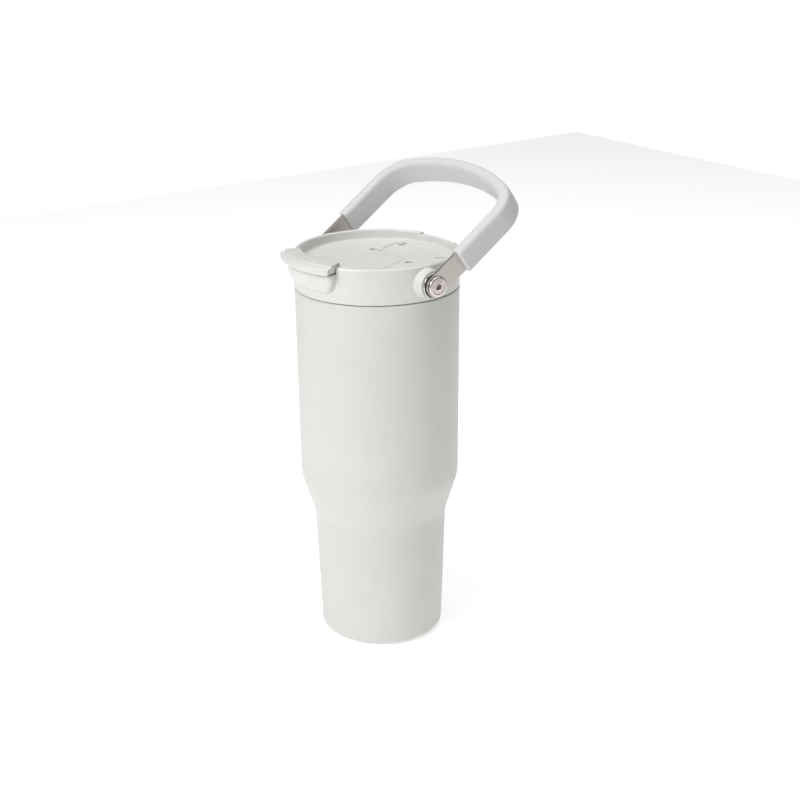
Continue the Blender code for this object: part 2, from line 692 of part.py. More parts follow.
def add_flip_cover(skin, hinge):
    """Modelled where it lies closed; its origin is on the hinge axis."""
    shift = Matrix.Translation((0, -HINGE_SETBACK, -HINGE_HEIGHT))
    plate = extruded("flip_cover", cover_outline(0), COVER_UNDERSIDE, DISH_FLOOR, shift)
    cover = show("flip_cover", plate, skin, hinge)
    tab_mesh = front_sector("tab", tab_profile())
    tab = helper("tab", tab_mesh, hinge, (0, -HINGE_SETBACK, -HINGE_HEIGHT))
    facing = Matrix.Rotation(math.pi / 2, 4, "X")
    side = rounded([
        (-SPOUT_HALF_WIDTH, COVER_UNDERSIDE - 1 * MM, 0), (SPOUT_HALF_WIDTH, COVER_UNDERSIDE - 1 * MM, 0),
        (SPOUT_HALF_WIDTH, TAB_TOP + EMBED, TAB_END_ROUND), (-SPOUT_HALF_WIDTH, TAB_TOP + EMBED, TAB_END_ROUND),
    ])
    frame = fanned(extruded("tab_frame", side, CUT_NEAR, CUT_FAR, facing))
    combine(tab, helper("tab_frame", frame, hinge, (0, -HINGE_SETBACK, -HINGE_HEIGHT)), "INTERSECT")
    combine(cover, tab, "UNION")
    along = Matrix.Rotation(math.pi / 2, 4, "Y")
    barrel = extruded("barrel", circle(HINGE_BARREL_RADIUS), -HINGE_HALF_WIDTH, HINGE_HALF_WIDTH, along)
    combine(cover, helper("barrel", barrel, hinge), "UNION")
    pin_hole = HINGE_PIN_RADIUS + SEAT_GAP
    reach = HINGE_HALF_WIDTH + 2 * MM
    bore = extruded("barrel_bore", circle(pin_hole, 16), -reach, reach, along)
    combine(cover, helper("barrel_bore", bore, hinge), "DIFFERENCE")


def add_cover_plug(skin, hinge):
    """Silicone pad under the cover that stops the drinking hole."""
    shift = Matrix.Translation((0, -HINGE_SETBACK, -HINGE_HEIGHT))
    top = COVER_UNDERSIDE - SEAT_GAP
    outline = stadium(DRINK_HOLE_HALF_LENGTH, DRINK_HOLE_RADIUS - MOVING_GAP, -DRINK_HOLE_CENTRE)
    show("cover_plug", extruded("cover_plug", outline, top - PLUG_PAD_DEPTH, top, shift), skin, hinge)


def add_hinge_pin(skin, parent):
    half = HINGE_HALF_WIDTH + MOVING_GAP + HINGE_LUG + HINGE_PIN_OVERHANG
    turn = Matrix.Rotation(math.pi / 2, 4, "Y")
    pin = extruded("hinge_pin", circle(HINGE_PIN_RADIUS - PIN_FIT / 2, 16), -half, half, turn)
    show("hinge_pin", pin, skin, parent, (0, HINGE_SETBACK, HINGE_HEIGHT))


# Handle pivots

def pivot_meshes():
    """Turned pieces of one pivot, their axes along Z, outwards from the boss."""
    head_top = HEAD_BASE + SCREW_HEAD_THICKNESS
    shank_end = INSERT_START + 0.2 * MM
    screw = rounded([
        (0, shank_end, 0), (SCREW_SHANK_RADIUS, shank_end, 0.4 * MM),
        (SCREW_SHANK_RADIUS, CUP_BASE + CUP_WALL + SEAT_GAP, 0),
        (SCREW_SHOULDER_RADIUS, CUP_BASE + CUP_WALL + SEAT_GAP, 0), (SCREW_SHOULDER_RADIUS, HEAD_BASE, 0),
        (SCREW_HEAD_RADIUS, HEAD_BASE, 0.3 * MM), (SCREW_HEAD_RADIUS, head_top, 0.7 * MM),
        (0.66 * SCREW_HEAD_RADIUS, head_top, 0), (0.62 * SCREW_HEAD_RADIUS, head_top - 0.3 * MM, 0),
        (0.58 * SCREW_HEAD_RADIUS, head_top, 0), (0, head_top, 0),
    ], step=math.radians(45))
    rim = CUP_BASE + CUP_WALL + SEAT_GAP + WASHER_THICKNESS
    bore = SCREW_SHANK_RADIUS + SEAT_GAP
    cup = rounded([
        (bore, CUP_BASE, 0), (CUP_RADIUS, CUP_BASE, 0.6 * MM), (CUP_RADIUS, rim, 0.25 * MM),
        (CUP_RADIUS - CUP_WALL, rim, 0.25 * MM), (CUP_RADIUS - CUP_WALL, CUP_BASE + CUP_WALL, 0),
        (bore, CUP_BASE + CUP_WALL, 0),
    ], step=math.radians(45))
    washer = [
        (PIVOT_HOLE, WASHER_BASE), (CUP_RADIUS - CUP_WALL - SEAT_GAP, WASHER_BASE),
        (CUP_RADIUS - CUP_WALL - SEAT_GAP, WASHER_BASE + WASHER_THICKNESS),
        (PIVOT_HOLE, WASHER_BASE + WASHER_THICKNESS),
    ]
    insert = [
        (bore, INSERT_START), (INSERT_RADIUS, INSERT_START), (INSERT_RADIUS, INSERT_TOP),
        (bore, INSERT_TOP),
    ]
    return {
        "pivot_screw": turned("pivot_screw", screw, SMALL_STEPS),
        "cup_washer": turned("cup_washer", cup, SMALL_STEPS),
        "friction_washer": turned("friction_washer", washer, SMALL_STEPS),
        "threaded_insert": turned("threaded_insert", insert, SMALL_STEPS),
    }


def add_pivots(skins, parent):
    meshes = pivot_meshes()
    place = (0, PIVOT_SETBACK, PIVOT_HEIGHT)
    floor = HEAD_BASE + SCREW_HEAD_THICKNESS - SCREW_SOCKET_DEPTH
    socket = extruded("hex_socket", circle(SCREW_SOCKET_RADIUS, 6), floor, floor + 5 * MM)
    for side, angle in (("left", -math.pi / 2), ("right", math.pi / 2)):
        for kind, mesh in meshes.items():
            piece = show(f"{kind}_{side}", mesh, skins[kind], parent, place, (0, angle, 0))
            if kind == "pivot_screw":
                cutter = helper("hex_socket_" + side, socket, parent, place, (0, angle, 0))
                combine(piece, cutter, "DIFFERENCE")


# Handle

def handle_path(depth, start):
    """Stations (x, z, outward normal x, outward normal z) from the left leg to the right.

    depth is how far inside the grip's outer face the path runs, start its first height on a leg.
    """
    corner_x = HANDLE_HALF_SPAN - HANDLE_CORNER_RADIUS
    tilt = math.asin(corner_x / (HANDLE_CROWN_RADIUS - HANDLE_CORNER_RADIUS))
    crown_z = HANDLE_LEG - (HANDLE_CROWN_RADIUS - HANDLE_CORNER_RADIUS) * math.cos(tilt)
    right = [(HANDLE_HALF_SPAN - depth, start, 1.0, 0.0)]
    steps = 8
    for k in range(steps):
        angle = (math.pi / 2 - tilt) * k / steps
        reach = HANDLE_CORNER_RADIUS - depth
        right.append((corner_x + reach * math.cos(angle), HANDLE_LEG + reach * math.sin(angle),
                      math.cos(angle), math.sin(angle)))
    for k in range(6):
        angle = math.pi / 2 - tilt * (1 - k / 6)
        reach = HANDLE_CROWN_RADIUS - depth
        right.append((reach * math.cos(angle), crown_z + reach * math.sin(angle),
                      math.cos(angle), math.sin(angle)))
    left = [(-x, z, -nx, nz) for x, z, nx, nz in right]
    top = (0.0, crown_z + HANDLE_CROWN_RADIUS - depth, 0.0, 1.0)
    return left + [top] + right[::-1]


def swept(name, stations, sections):
    """Loft sections of (along the normal, across) points over the stations, then cap the ends."""
    points = []
    size = len(sections[0])
    for (x, z, nx, nz), section in zip(stations, sections):
        points += [(x + nx * out, across, z + nz * out) for out, across in section]
    last = (len(stations) - 1) * size
    faces = [tuple(range(size)), tuple(range(last, last + size))]
    for k in range(len(stations) - 1):
        for i in range(size):
            j = (i + 1) % size
            faces.append((k * size + i, k * size + j, (k + 1) * size + j, (k + 1) * size + i))
    return mesh_from(name, points, faces)


def box_section(thickness, width):
    return [(-thickness, -width / 2), (0, -width / 2), (0, width / 2), (-thickness, width / 2)]


def add_handle_band(skin, pivot):
    """Steel strip with round ends, bored for the shoulder screws."""
    stations = handle_path(GRIP_OUTSIDE, 0.0)
    sections = [box_section(BRACKET_THICKNESS, BRACKET_WIDTH)] * len(stations)
    radius = BRACKET_WIDTH / 2
    for degrees in (75, 60, 45, 30, 15):
        drop = radius * math.cos(math.radians(degrees))
        end = box_section(BRACKET_THICKNESS, BRACKET_WIDTH * math.sin(math.radians(degrees)))
        x = HANDLE_HALF_SPAN - GRIP_OUTSIDE
        stations = [(-x, -drop, -1.0, 0.0)] + stations + [(x, -drop, 1.0, 0.0)]
        sections = [end] + sections + [end]
    band = show("handle_band", swept("handle_band", stations, sections), skin, pivot)
    along = Matrix.Rotation(math.pi / 2, 4, "Y")
    reach = HANDLE_HALF_SPAN + 5 * MM
    hole = extruded("band_holes", circle(PIVOT_HOLE, 24), -reach, reach, along)
    combine(band, helper("band_holes", hole, pivot), "DIFFERENCE")


def add_handle_grip(skin, pivot):
    """Soft grip round the strip, from leg to leg."""
    outline = rounded([
        (-GRIP_THICKNESS, -GRIP_WIDTH / 2, GRIP_ROUND), (0, -GRIP_WIDTH / 2, GRIP_ROUND),
        (0, GRIP_WIDTH / 2, GRIP_ROUND), (-GRIP_THICKNESS, GRIP_WIDTH / 2, GRIP_ROUND),
    ], step=math.radians(30))
    stations = handle_path(0.0, GRIP_START)
    grip = show("handle_grip", swept("handle_grip", stations, [outline] * len(stations)), skin, pivot)
    channel = box_section(BRACKET_THICKNESS + 2 * SEAT_GAP, BRACKET_WIDTH + 2 * SEAT_GAP)
    inside = handle_path(GRIP_OUTSIDE - SEAT_GAP, GRIP_START - 5 * MM)
    core = swept("grip_channel", inside, [channel] * len(inside))
    combine(grip, helper("grip_channel", core, pivot), "DIFFERENCE")


def build():
    clear_scene()
    coat = material("powder_coat", (0.80, 0.80, 0.77), 0.45)
    steel = material("brushed_steel", (0.56, 0.54, 0.52), 0.32, 1.0)
    plastic = material("white_plastic", (0.82, 0.82, 0.80), 0.35)
    inner_plastic = material("inner_plastic", (0.74, 0.74, 0.72), 0.42)
    silicone = material("clear_silicone", (0.70, 0.71, 0.70), 0.55)
    pad_rubber = material("pad_silicone", (0.62, 0.62, 0.60), 0.7)
    getter_metal = material("getter_metal", (0.35, 0.34, 0.33), 0.6, 0.8)
    grip_rubber = material("grip_rubber", (0.72, 0.73, 0.74), 0.6)
    skins = {
        "pivot_screw": material("screw_steel", (0.62, 0.56, 0.54), 0.3, 1.0),
        "cup_washer": material("polished_steel", (0.70, 0.68, 0.66), 0.15, 1.0),
        "friction_washer": material("black_nylon", (0.02, 0.02, 0.02), 0.5),
        "threaded_insert": material("brass", (0.66, 0.48, 0.22), 0.35, 1.0),
    }

    add_outer_shell(coat)
    add_inner_vessel(steel)
    add_base(steel, pad_rubber, getter_metal)

    lid_frame = empty("lid_frame", (0, 0, 0))
    add_lid_body(plastic, lid_frame)
    add_lid_liner(inner_plastic, lid_frame)
    add_lid_gasket(silicone)
    add_hinge_pin(steel, lid_frame)
    add_pivots(skins, lid_frame)

    hinge = empty("cover_hinge", (0, HINGE_SETBACK, HINGE_HEIGHT), lid_frame)
    add_flip_cover(plastic, hinge)
    add_cover_plug(silicone, hinge)

    pivot = empty("handle_pivot", (0, PIVOT_SETBACK, PIVOT_HEIGHT), lid_frame)
    pivot.rotation_euler = (-HANDLE_TILT, 0, 0)
    add_handle_band(skins["pivot_screw"], pivot)
    add_handle_grip(grip_rubber, pivot)


build()
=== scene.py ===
import math

import bmesh
import bpy
import numpy as np
from mathutils import Matrix, Vector


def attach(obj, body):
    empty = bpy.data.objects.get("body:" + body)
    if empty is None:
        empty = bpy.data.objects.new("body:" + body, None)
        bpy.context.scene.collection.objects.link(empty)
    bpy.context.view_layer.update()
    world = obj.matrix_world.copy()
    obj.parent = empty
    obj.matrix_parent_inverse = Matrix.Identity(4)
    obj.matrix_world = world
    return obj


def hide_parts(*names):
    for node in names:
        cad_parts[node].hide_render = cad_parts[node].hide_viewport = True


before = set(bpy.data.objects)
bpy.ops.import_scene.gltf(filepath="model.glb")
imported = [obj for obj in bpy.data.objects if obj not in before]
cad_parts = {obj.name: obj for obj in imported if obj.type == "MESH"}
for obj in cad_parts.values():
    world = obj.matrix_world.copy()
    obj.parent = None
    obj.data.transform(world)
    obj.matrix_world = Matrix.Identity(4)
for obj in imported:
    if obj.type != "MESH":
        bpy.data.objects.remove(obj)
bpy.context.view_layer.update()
mm = 0.001
print("frame loaded")


# Mesh tools

def gridFaces(rows, cols, wrapRows=False, wrapCols=False):
    # quads between neighbouring samples of a rows x cols grid; a wrapped side joins its last line to
    # its first
    i = np.arange(rows if wrapRows else rows - 1)
    j = np.arange(cols if wrapCols else cols - 1)
    i, j = np.meshgrid(i, j, indexing="ij")
    i2, j2 = (i + 1) % rows, (j + 1) % cols
    return np.stack([i * cols + j, i2 * cols + j, i2 * cols + j2, i * cols + j2], -1).reshape(-1, 4)


def meshObject(name, parts, creaseAngle=35, loopUV=None):
    # one mesh from (points, list of face arrays) parts, its doubles merged and its faces turned outwards
    points, faces, start = [], [], 0
    for cloud, groups in parts:
        points.append(cloud)
        for group in groups:
            faces += [tuple(face) for face in (np.asarray(group) + start).tolist()]
        start += len(cloud)
    mesh = bpy.data.meshes.new(name)
    mesh.from_pydata(np.concatenate(points).tolist(), [], faces)
    if loopUV is not None:
        corners = np.array([point for face in faces for point in face])
        mesh.uv_layers.new(name="strip").data.foreach_set("uv", loopUV[corners].ravel())
    shape = bmesh.new()
    shape.from_mesh(mesh)
    bmesh.ops.remove_doubles(shape, verts=shape.verts, dist=1e-7)
    bmesh.ops.dissolve_degenerate(shape, edges=shape.edges, dist=1e-8)
    bmesh.ops.recalc_face_normals(shape, faces=shape.faces)
    shape.to_mesh(mesh)
    shape.free()
    mesh.shade_smooth()
    mesh.set_sharp_from_angle(angle=math.radians(creaseAngle))
    made = bpy.data.objects.new(name, mesh)
    bpy.context.scene.collection.objects.link(made)
    return made


def filletOutline(corners, closed=True, step=8):
    # the outline through (a, b, radius) corners, each corner swapped for an arc of its radius
    corners = [(np.array(c[:2], float), c[2]) for c in corners]
    count, points = len(corners), []
    for k, (here, radius) in enumerate(corners):
        if radius <= 0 or (not closed and k in (0, count - 1)):
            points.append(here[None])
            continue
        before = corners[k - 1][0] - here
        after = corners[(k + 1) % count][0] - here
        before, after = before / np.linalg.norm(before), after / np.linalg.norm(after)
        half = math.acos(np.clip(before @ after, -1, 1)) / 2
        middle = (before + after) / np.linalg.norm(before + after)
        centre = here + middle * radius / math.sin(half)
        first = here + before * radius / math.tan(half) - centre
        turn = (math.pi - 2 * half) * (-1 if before[0] * after[1] - before[1] * after[0] > 0 else 1)
        angle = turn * np.linspace(0, 1, max(3, round(abs(math.degrees(turn)) / step) + 1))
        cos, sin = np.cos(angle), np.sin(angle)
        arc = np.stack([first[0] * cos - first[1] * sin, first[0] * sin + first[1] * cos], -1)
        points.append(centre + arc)
    return np.concatenate(points)


def turned(profile, steps=192):
    # a closed (radius, height) outline carried round Z: (r cos a, r sin a, h)
    angle = np.linspace(0, 2 * math.pi, steps, endpoint=False)[:, None]
    r, h = profile[:, 0][None], profile[:, 1][None]
    cloud = np.stack([r * np.cos(angle), r * np.sin(angle), h + 0 * angle], -1).reshape(-1, 3)
    return cloud, [gridFaces(steps, len(profile), True, True)]


def lofted(rings):
    # closed rings of equal length joined in order, with a flat face over each end
    rings = np.asarray(rings)
    count, size = rings.shape[:2]
    last = (count - 1) * size
    return rings.reshape(-1, 3), [
        gridFaces(count, size, False, True),
        [list(range(size))],
        [list(range(last, last + size))],
    ]


def offset(outline, distance):
    # a closed outline moved along its own outward normals, mitred at each point
    back = outline - np.roll(outline, 1, 0)
    back /= np.linalg.norm(back, axis=1, keepdims=True)
    ahead = np.roll(back, -1, 0)
    normal = np.stack([back[:, 1] + ahead[:, 1], -back[:, 0] - ahead[:, 0]], -1)
    normal /= np.linalg.norm(normal, axis=1, keepdims=True)
    lean = np.maximum(normal[:, 0] * back[:, 1] - normal[:, 1] * back[:, 0], 0.5)[:, None]
    x, y = outline.T
    area = np.sum(x * np.roll(y, -1) - np.roll(x, -1) * y)
    return outline + normal / lean * distance * (1 if area > 0 else -1)


def layers(outline, levels):
    # the outline at each (height, growth) level, as rings for lofted
    count = len(outline)
    return np.stack([np.column_stack([offset(outline, grow), np.full(count, z)]) for z, grow in levels])


def smoothStep(t):
    # 3 t^2 - 2 t^3 between 0 and 1, level beyond them
    t = np.clip(t, 0, 1)
    return t * t * (3 - 2 * t)


def carve(target, cutters):
    # every cutter taken from the target in turn, the result kept as plain mesh
    for cutter in cutters:
        step = target.modifiers.new(cutter.name, "BOOLEAN")
        step.operation, step.object, step.solver = "DIFFERENCE", cutter, "EXACT"
    bpy.context.view_layer.update()
    graph = bpy.context.evaluated_depsgraph_get()
    mesh = bpy.data.meshes.new_from_object(target.evaluated_get(graph))
    target.modifiers.clear()
    target.data = mesh
    for cutter in cutters:
        bpy.data.objects.remove(cutter)
    mesh.shade_smooth()
    mesh.set_sharp_from_angle(angle=math.radians(35))


def finishPiece(piece, skin, body, slotName, *nodes):
    # material, the body that it rides on and the nodes that it stands for; the slot name is not used
    piece.data.materials.clear()
    piece.data.materials.append(skin)
    evener = piece.modifiers.new("evenNormals", "WEIGHTED_NORMAL")
    evener.keep_sharp = True
    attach(piece, body)
    if nodes:
        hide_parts(*nodes)
    return piece


# Shader tools

class Wire:
    # one socket's value; the usual operators add Math nodes
    def __init__(self, sheet, socket):
        self.sheet, self.socket = sheet, socket

    def mathWith(self, operation, first, second=0.0):
        return self.sheet.add("ShaderNodeMath", {"operation": operation}, {0: first, 1: second})

    def __add__(self, other):
        return self.mathWith("ADD", self, other)

    def __radd__(self, other):
        return self.mathWith("ADD", other, self)

    def __sub__(self, other):
        return self.mathWith("SUBTRACT", self, other)

    def __rsub__(self, other):
        return self.mathWith("SUBTRACT", other, self)

    def __mul__(self, other):
        return self.mathWith("MULTIPLY", self, other)

    def __rmul__(self, other):
        return self.mathWith("MULTIPLY", other, self)

    def __pow__(self, other):
        return self.mathWith("POWER", self, other)


class Sheet:
    # a material's node sheet, with its Principled surface ready
    def __init__(self, name, **constants):
        self.material = bpy.data.materials.new(name)
        self.material.use_nodes = True
        self.tree = self.material.node_tree
        self.surface = self.tree.nodes["Principled BSDF"]
        for key, value in constants.items():
            self.surface.inputs[key.replace("_", " ")].default_value = value

    def add(self, kind, settings=None, inputs=None, output=0):
        node = self.tree.nodes.new(kind)
        for key, value in (settings or {}).items():
            setattr(node, key, value)
        for key, value in (inputs or {}).items():
            self.feed(node.inputs[key], value)
        return Wire(self, node.outputs[output])

    def feed(self, socket, value):
        if isinstance(value, Wire):
            self.tree.links.new(value.socket, socket)
        else:
            socket.default_value = value

    def place(self, scale=(1, 1, 1), source="Object", centre=(0, 0, 0)):
        spot = self.add("ShaderNodeTexCoord", output=source)
        return self.add("ShaderNodeMapping", None, {"Vector": spot, "Location": centre, "Scale": scale})

    def noise(self, vector, scale, detail=2.0, rough=0.5):
        return self.add("ShaderNodeTexNoise", None, {
            "Vector": vector, "Scale": scale, "Detail": detail, "Roughness": rough})

    def range(self, value, low, high, fromLow=0.3, fromHigh=0.7):
        return self.add("ShaderNodeMapRange", None, {
            0: value, 1: fromLow, 2: fromHigh, 3: low, 4: high})

    def blend(self, factor, first, second):
        return self.add("ShaderNodeMix", {"data_type": "RGBA"}, {0: factor, 6: first, 7: second}, 2)

    def bump(self, height, distance, strength):
        return self.add("ShaderNodeBump", None, {
            "Height": height, "Distance": distance, "Strength": strength})

    def out(self, **values):
        for key, value in values.items():
            self.feed(self.surface.inputs[key.replace("_", " ")], value)
        return self.material


def shade(colour, factor):
    return tuple(c * factor for c in colour[:3]) + (1.0,)


# Body

bodySizes = {
    "height": 204.3 * mm, "top": 45.0 * mm, "waist": 44.3 * mm, "waistHeight": 94.9 * mm,
    "holder": 37.2 * mm, "holderHeight": 72.65 * mm, "foot": 34.6 * mm, "footLift": 0.5 * mm,
    "wall": 0.8 * mm, "lipInner": 42.6 * mm, "lipRound": 1.0 * mm, "waistRound": 26 * mm,
    "holderRound": 18 * mm, "footRound": 4.0 * mm, "recess": 30.4 * mm, "recessTop": 3.3 * mm,
}
padSizes = {"radius": 30.1 * mm, "thickness": 2.2 * mm, "edge": 0.6 * mm, "dish": 0.25 * mm}


def bodyShellMesh():
    # outer line from lip to base recess, its inner line one wall away, turned round the axis
    s = bodySizes
    outer = filletOutline([
        (s["lipInner"], s["height"], 0), (s["top"], s["height"], s["lipRound"]),
        (s["waist"], s["waistHeight"], s["waistRound"]), (s["holder"], s["holderHeight"], s["holderRound"]),
        (s["foot"], s["footLift"], s["footRound"]), (s["recess"], s["footLift"], 0),
        (s["recess"], s["recessTop"], 0),
    ], closed=False, step=2)
    ahead = np.gradient(outer, axis=0)
    ahead /= np.linalg.norm(ahead, axis=1, keepdims=True)
    inner = outer + np.stack([ahead[:, 1], -ahead[:, 0]], -1) * s["wall"]
    inner[0] = (s["lipInner"], s["height"] - s["wall"])
    inner[-1] = (s["recess"] + s["wall"], s["recessTop"])
    return turned(np.concatenate([outer, inner[::-1]]), 256)


def basePadMesh():
    # a shallow dish underneath, so that the pad stands on its outer ring
    s = padSizes
    ring = 0.84 * s["radius"]
    return turned(filletOutline([
        (0, s["dish"], 0), (ring - 1.0 * mm, s["dish"], 0.3 * mm), (ring, 0, 0.3 * mm),
        (s["radius"], 0, s["edge"]), (s["radius"], s["thickness"], 0.2 * mm), (0, s["thickness"], 0),
    ]), 192)


# Lid

lidSizes = {
    "seam": 204.8 * mm, "rimTop": 224.1 * mm, "outer": 45.0 * mm, "dish": 42.3 * mm,
    "floor": 218.6 * mm, "seat": 216.2 * mm, "underside": 212.8 * mm, "skirt": 42.6 * mm,
    "outerRound": 1.6 * mm, "innerRound": 1.0 * mm, "floorRound": 1.0 * mm, "seamRound": 0.4 * mm,
    "spoutTurn": math.asin(20.9 / 45), "spoutRoot": 209.1 * mm, "spoutLip": 220.5 * mm,
    "spoutFlare": 3.8 * mm, "spoutCorner": 9.0 * mm, "spoutEdge": 0.7 * mm, "spoutSoft": 2.8 * mm,
    "spoutCrease": 0.5 * mm, "spoutSunk": 0.4 * mm, "seatTurn": 41.94, "ledge": 40.5 * mm,
    "openEdge": 0.5 * mm, "openHalf": 21.15 * mm, "notchHalf": 14.7 * mm, "notchDepth": 1.2 * mm,
    "cornerSoft": 0.35 * mm, "deckRadius": 41.2 * mm,
}


def spoutPush(turn, z):
    # how far the wall stands out at an angle from the front: a quarter-circle flare up the wall, times a
    # quarter-circle rise in from the edge of a round-cornered frame with radial sides
    s = lidSizes
    wide = s["outer"] * math.sin(s["spoutTurn"])
    x = np.tan(np.clip(np.abs(turn), 0, 1.2)) * s["outer"] * math.cos(s["spoutTurn"])
    sunk = s["spoutSunk"]
    climb = np.clip((z - s["spoutRoot"]) / (s["spoutLip"] - s["spoutEdge"] - s["spoutRoot"]), 0, 1)
    flare = np.maximum((s["spoutFlare"] + sunk) * np.sqrt(1 - (1 - climb) ** 2) - sunk, 0)
    flare = np.where(z < s["spoutRoot"], 0, flare)
    a = x - (wide - s["spoutCorner"])
    b = s["spoutRoot"] + s["spoutCorner"] - z
    inside = s["spoutCorner"] - np.hypot(np.maximum(a, 0), np.maximum(b, 0)) - np.minimum(np.maximum(a, b), 0)
    rise = np.sqrt(1 - (1 - np.clip(inside / s["spoutSoft"], 0, 1)) ** 2)
    return flare * rise * smoothStep(inside / s["spoutCrease"])


def softDrop(x, half, depth):
    # full depth inside half, none outside, with the upper corner rounded off
    soft = min(lidSizes["cornerSoft"], 0.8 * depth)
    away = np.clip(np.abs(x) - half, 0, soft)
    edge = soft - np.sqrt(soft ** 2 - (soft - away) ** 2)
    return np.where(np.abs(x) <= half, depth, edge)


def lidShellMesh():
    # one closed wall section per angle; rim height, rounds and spout vary with the angle
    s = lidSizes
    r0 = s["outer"]
    steps = np.array([-0.04, 0.0, 0.04, 0.1, 0.18, 0.27, 0.35, 0.5, 0.9]) * mm
    front = np.arcsin((s["openHalf"] + steps) / r0)
    rear = math.pi - np.arcsin((s["notchHalf"] + steps) / r0)
    seatTurn = math.radians(s["seatTurn"])
    seatEdge = seatTurn + np.array([-0.001, 0.001])
    fine = np.radians(np.arange(13.0, 28.6, 0.22))
    half = np.concatenate([np.radians(np.arange(0, 180.1, 1.0)), fine, front, rear, seatEdge])
    half = half[(half >= 0) & (half <= math.pi)]
    lead = np.unique(np.round(np.concatenate([half, -half]), 6))
    lead = lead[np.concatenate([[True], np.diff(lead) > 2e-4])][:-1]
    u = lead[:, None]
    facing, x0 = np.cos(u) > 0, r0 * np.sin(u)
    drop = np.where(facing, softDrop(x0, s["openHalf"], s["rimTop"] - s["spoutLip"]),
                    softDrop(x0, s["notchHalf"], s["notchDepth"]))
    top = s["rimTop"] - drop
    opened = (facing & (np.abs(x0) <= s["openHalf"] + 0.02 * mm)).astype(float)
    outerR = s["outerRound"] * (1 - opened) + s["spoutEdge"] * opened
    innerR = s["innerRound"] * (1 - opened) + s["openEdge"] * opened
    seated = (facing & (np.abs(u) < seatTurn)).astype(float)
    floor = (s["floor"] - 0.01 * mm) * (1 - seated) + (s["seat"] - 0.01 * mm) * seated

    zero = np.zeros_like(u)

    def arc(centreR, centreZ, radius, first, last, count):
        a = np.radians(np.linspace(first, last, count))[None]
        return zero + centreR + radius * np.cos(a), zero + centreZ + radius * np.sin(a)

    def line(rs, zs):
        return np.concatenate([zero + v for v in rs], 1), np.concatenate([zero + v for v in zs], 1)

    segments = [arc(r0 - s["seamRound"] + zero, s["seam"] + s["seamRound"], s["seamRound"], -90, 0, 5)]
    low = np.linspace(s["seam"] + 2 * s["seamRound"], s["spoutRoot"] - 0.1 * mm, 9)
    climb = 1 - np.cos(np.radians(np.linspace(5.5, 90, 34)[:-1]))
    shoulder = top - outerR
    high = s["spoutRoot"] + (shoulder - s["spoutRoot"]) * climb[None]
    segments.append((zero + r0 + 0 * low[None], zero + low[None]))
    segments.append((r0 + 0 * high, high))
    pushed = sum(seg[0].shape[1] for seg in segments)
    segments.append(arc(r0 - outerR, shoulder, outerR, 0, 90, 9))
    rounds = segments[-1][0].shape[1]
    inner = s["dish"] + innerR
    segments.append(line([r0 - outerR - (r0 - outerR - inner) * t for t in (0.3, 0.65)], [top, top]))
    segments.append(arc(inner, top - innerR, innerR, 90, 180, 8))
    wallFoot = floor + s["floorRound"]
    descent = wallFoot - top + innerR
    segments.append(line([s["dish"]] * 4, [top - innerR + descent * t for t in (0.25, 0.5, 0.75, 0.9)]))
    segments.append(arc(s["dish"] - s["floorRound"] + zero, wallFoot, s["floorRound"], 0, -90, 8))
    segments.append(line(
        [s["ledge"], s["ledge"], s["skirt"], s["skirt"], s["skirt"]],
        [floor, s["underside"], s["underside"], 0.5 * (s["underside"] + s["seam"]), s["seam"]]))
    r = np.concatenate([seg[0] for seg in segments], 1)
    z = np.concatenate([seg[1] for seg in segments], 1)

    # the steps at the rear notch stay at one x through the wall
    turn = u + 0 * r
    x1 = s["notchHalf"]
    for side in (-1, 1):
        edge = side * (math.pi - math.asin(x1 / r0))
        near = smoothStep(1 - np.abs(u - edge) / math.radians(7))
        turn = turn - side * near * (np.arcsin(np.clip(x1 / r, 0, 1)) - math.asin(x1 / r0))
    level = np.minimum(z, s["spoutLip"] - s["spoutEdge"])
    push = spoutPush(u, np.where(np.arange(r.shape[1])[None] < pushed, z, level))
    weight = np.zeros(r.shape[1])
    weight[:pushed + rounds] = 1
    weight[pushed + rounds:pushed + rounds + 2] = (0.7, 0.35)
    push = push * weight[None] * (np.cos(u) > 0)
    cloud = np.stack([(r + push) * np.sin(turn), -(r + push) * np.cos(turn), z], -1).reshape(-1, 3)
    return cloud, [gridFaces(*r.shape, True, True)]


coverSizes = {
    "top": 218.6 * mm, "bottom": 216.6 * mm, "radius": 41.9 * mm, "neck": 12.6 * mm,
    "hingeY": 9.8 * mm, "hingeZ": 216.95 * mm, "neckLength": 2.3 * mm, "flare": 0.4,
    "neckRound": 6.0 * mm, "edge": 0.35 * mm, "barrel": 1.6 * mm, "pin": 0.65 * mm, "pinHalf": 15.8 * mm,
}
deckSizes = {
    "fit": 0.4 * mm, "softEdge": 0.35 * mm, "pocketRadius": 2.45 * mm, "pocketX": 17.05 * mm,
    "pocketFloor": 214.2 * mm, "panelDepth": 0.6 * mm, "panelSoft": 0.4 * mm,
    "panelFront": (16.5 * mm, 15.0 * mm, 3.0 * mm), "panelBack": (24.4 * mm, 36.2 * mm, 6.5 * mm),
    "slotX": 18.2 * mm, "slotY": 30.5 * mm, "slotRadius": 1.8 * mm, "slotDepth": 2.4 * mm,
    "slotTurn": 75, "pinFit": 0.1 * mm, "pocketSoft": 0.5 * mm, "pocketFoot": 0.6 * mm, "slotSoft": 0.4 * mm,
    "slotFoot": 0.5 * mm,
    "hole": (8.0 * mm, 5.0 * mm, 29.0 * mm), "opening": 100,
}


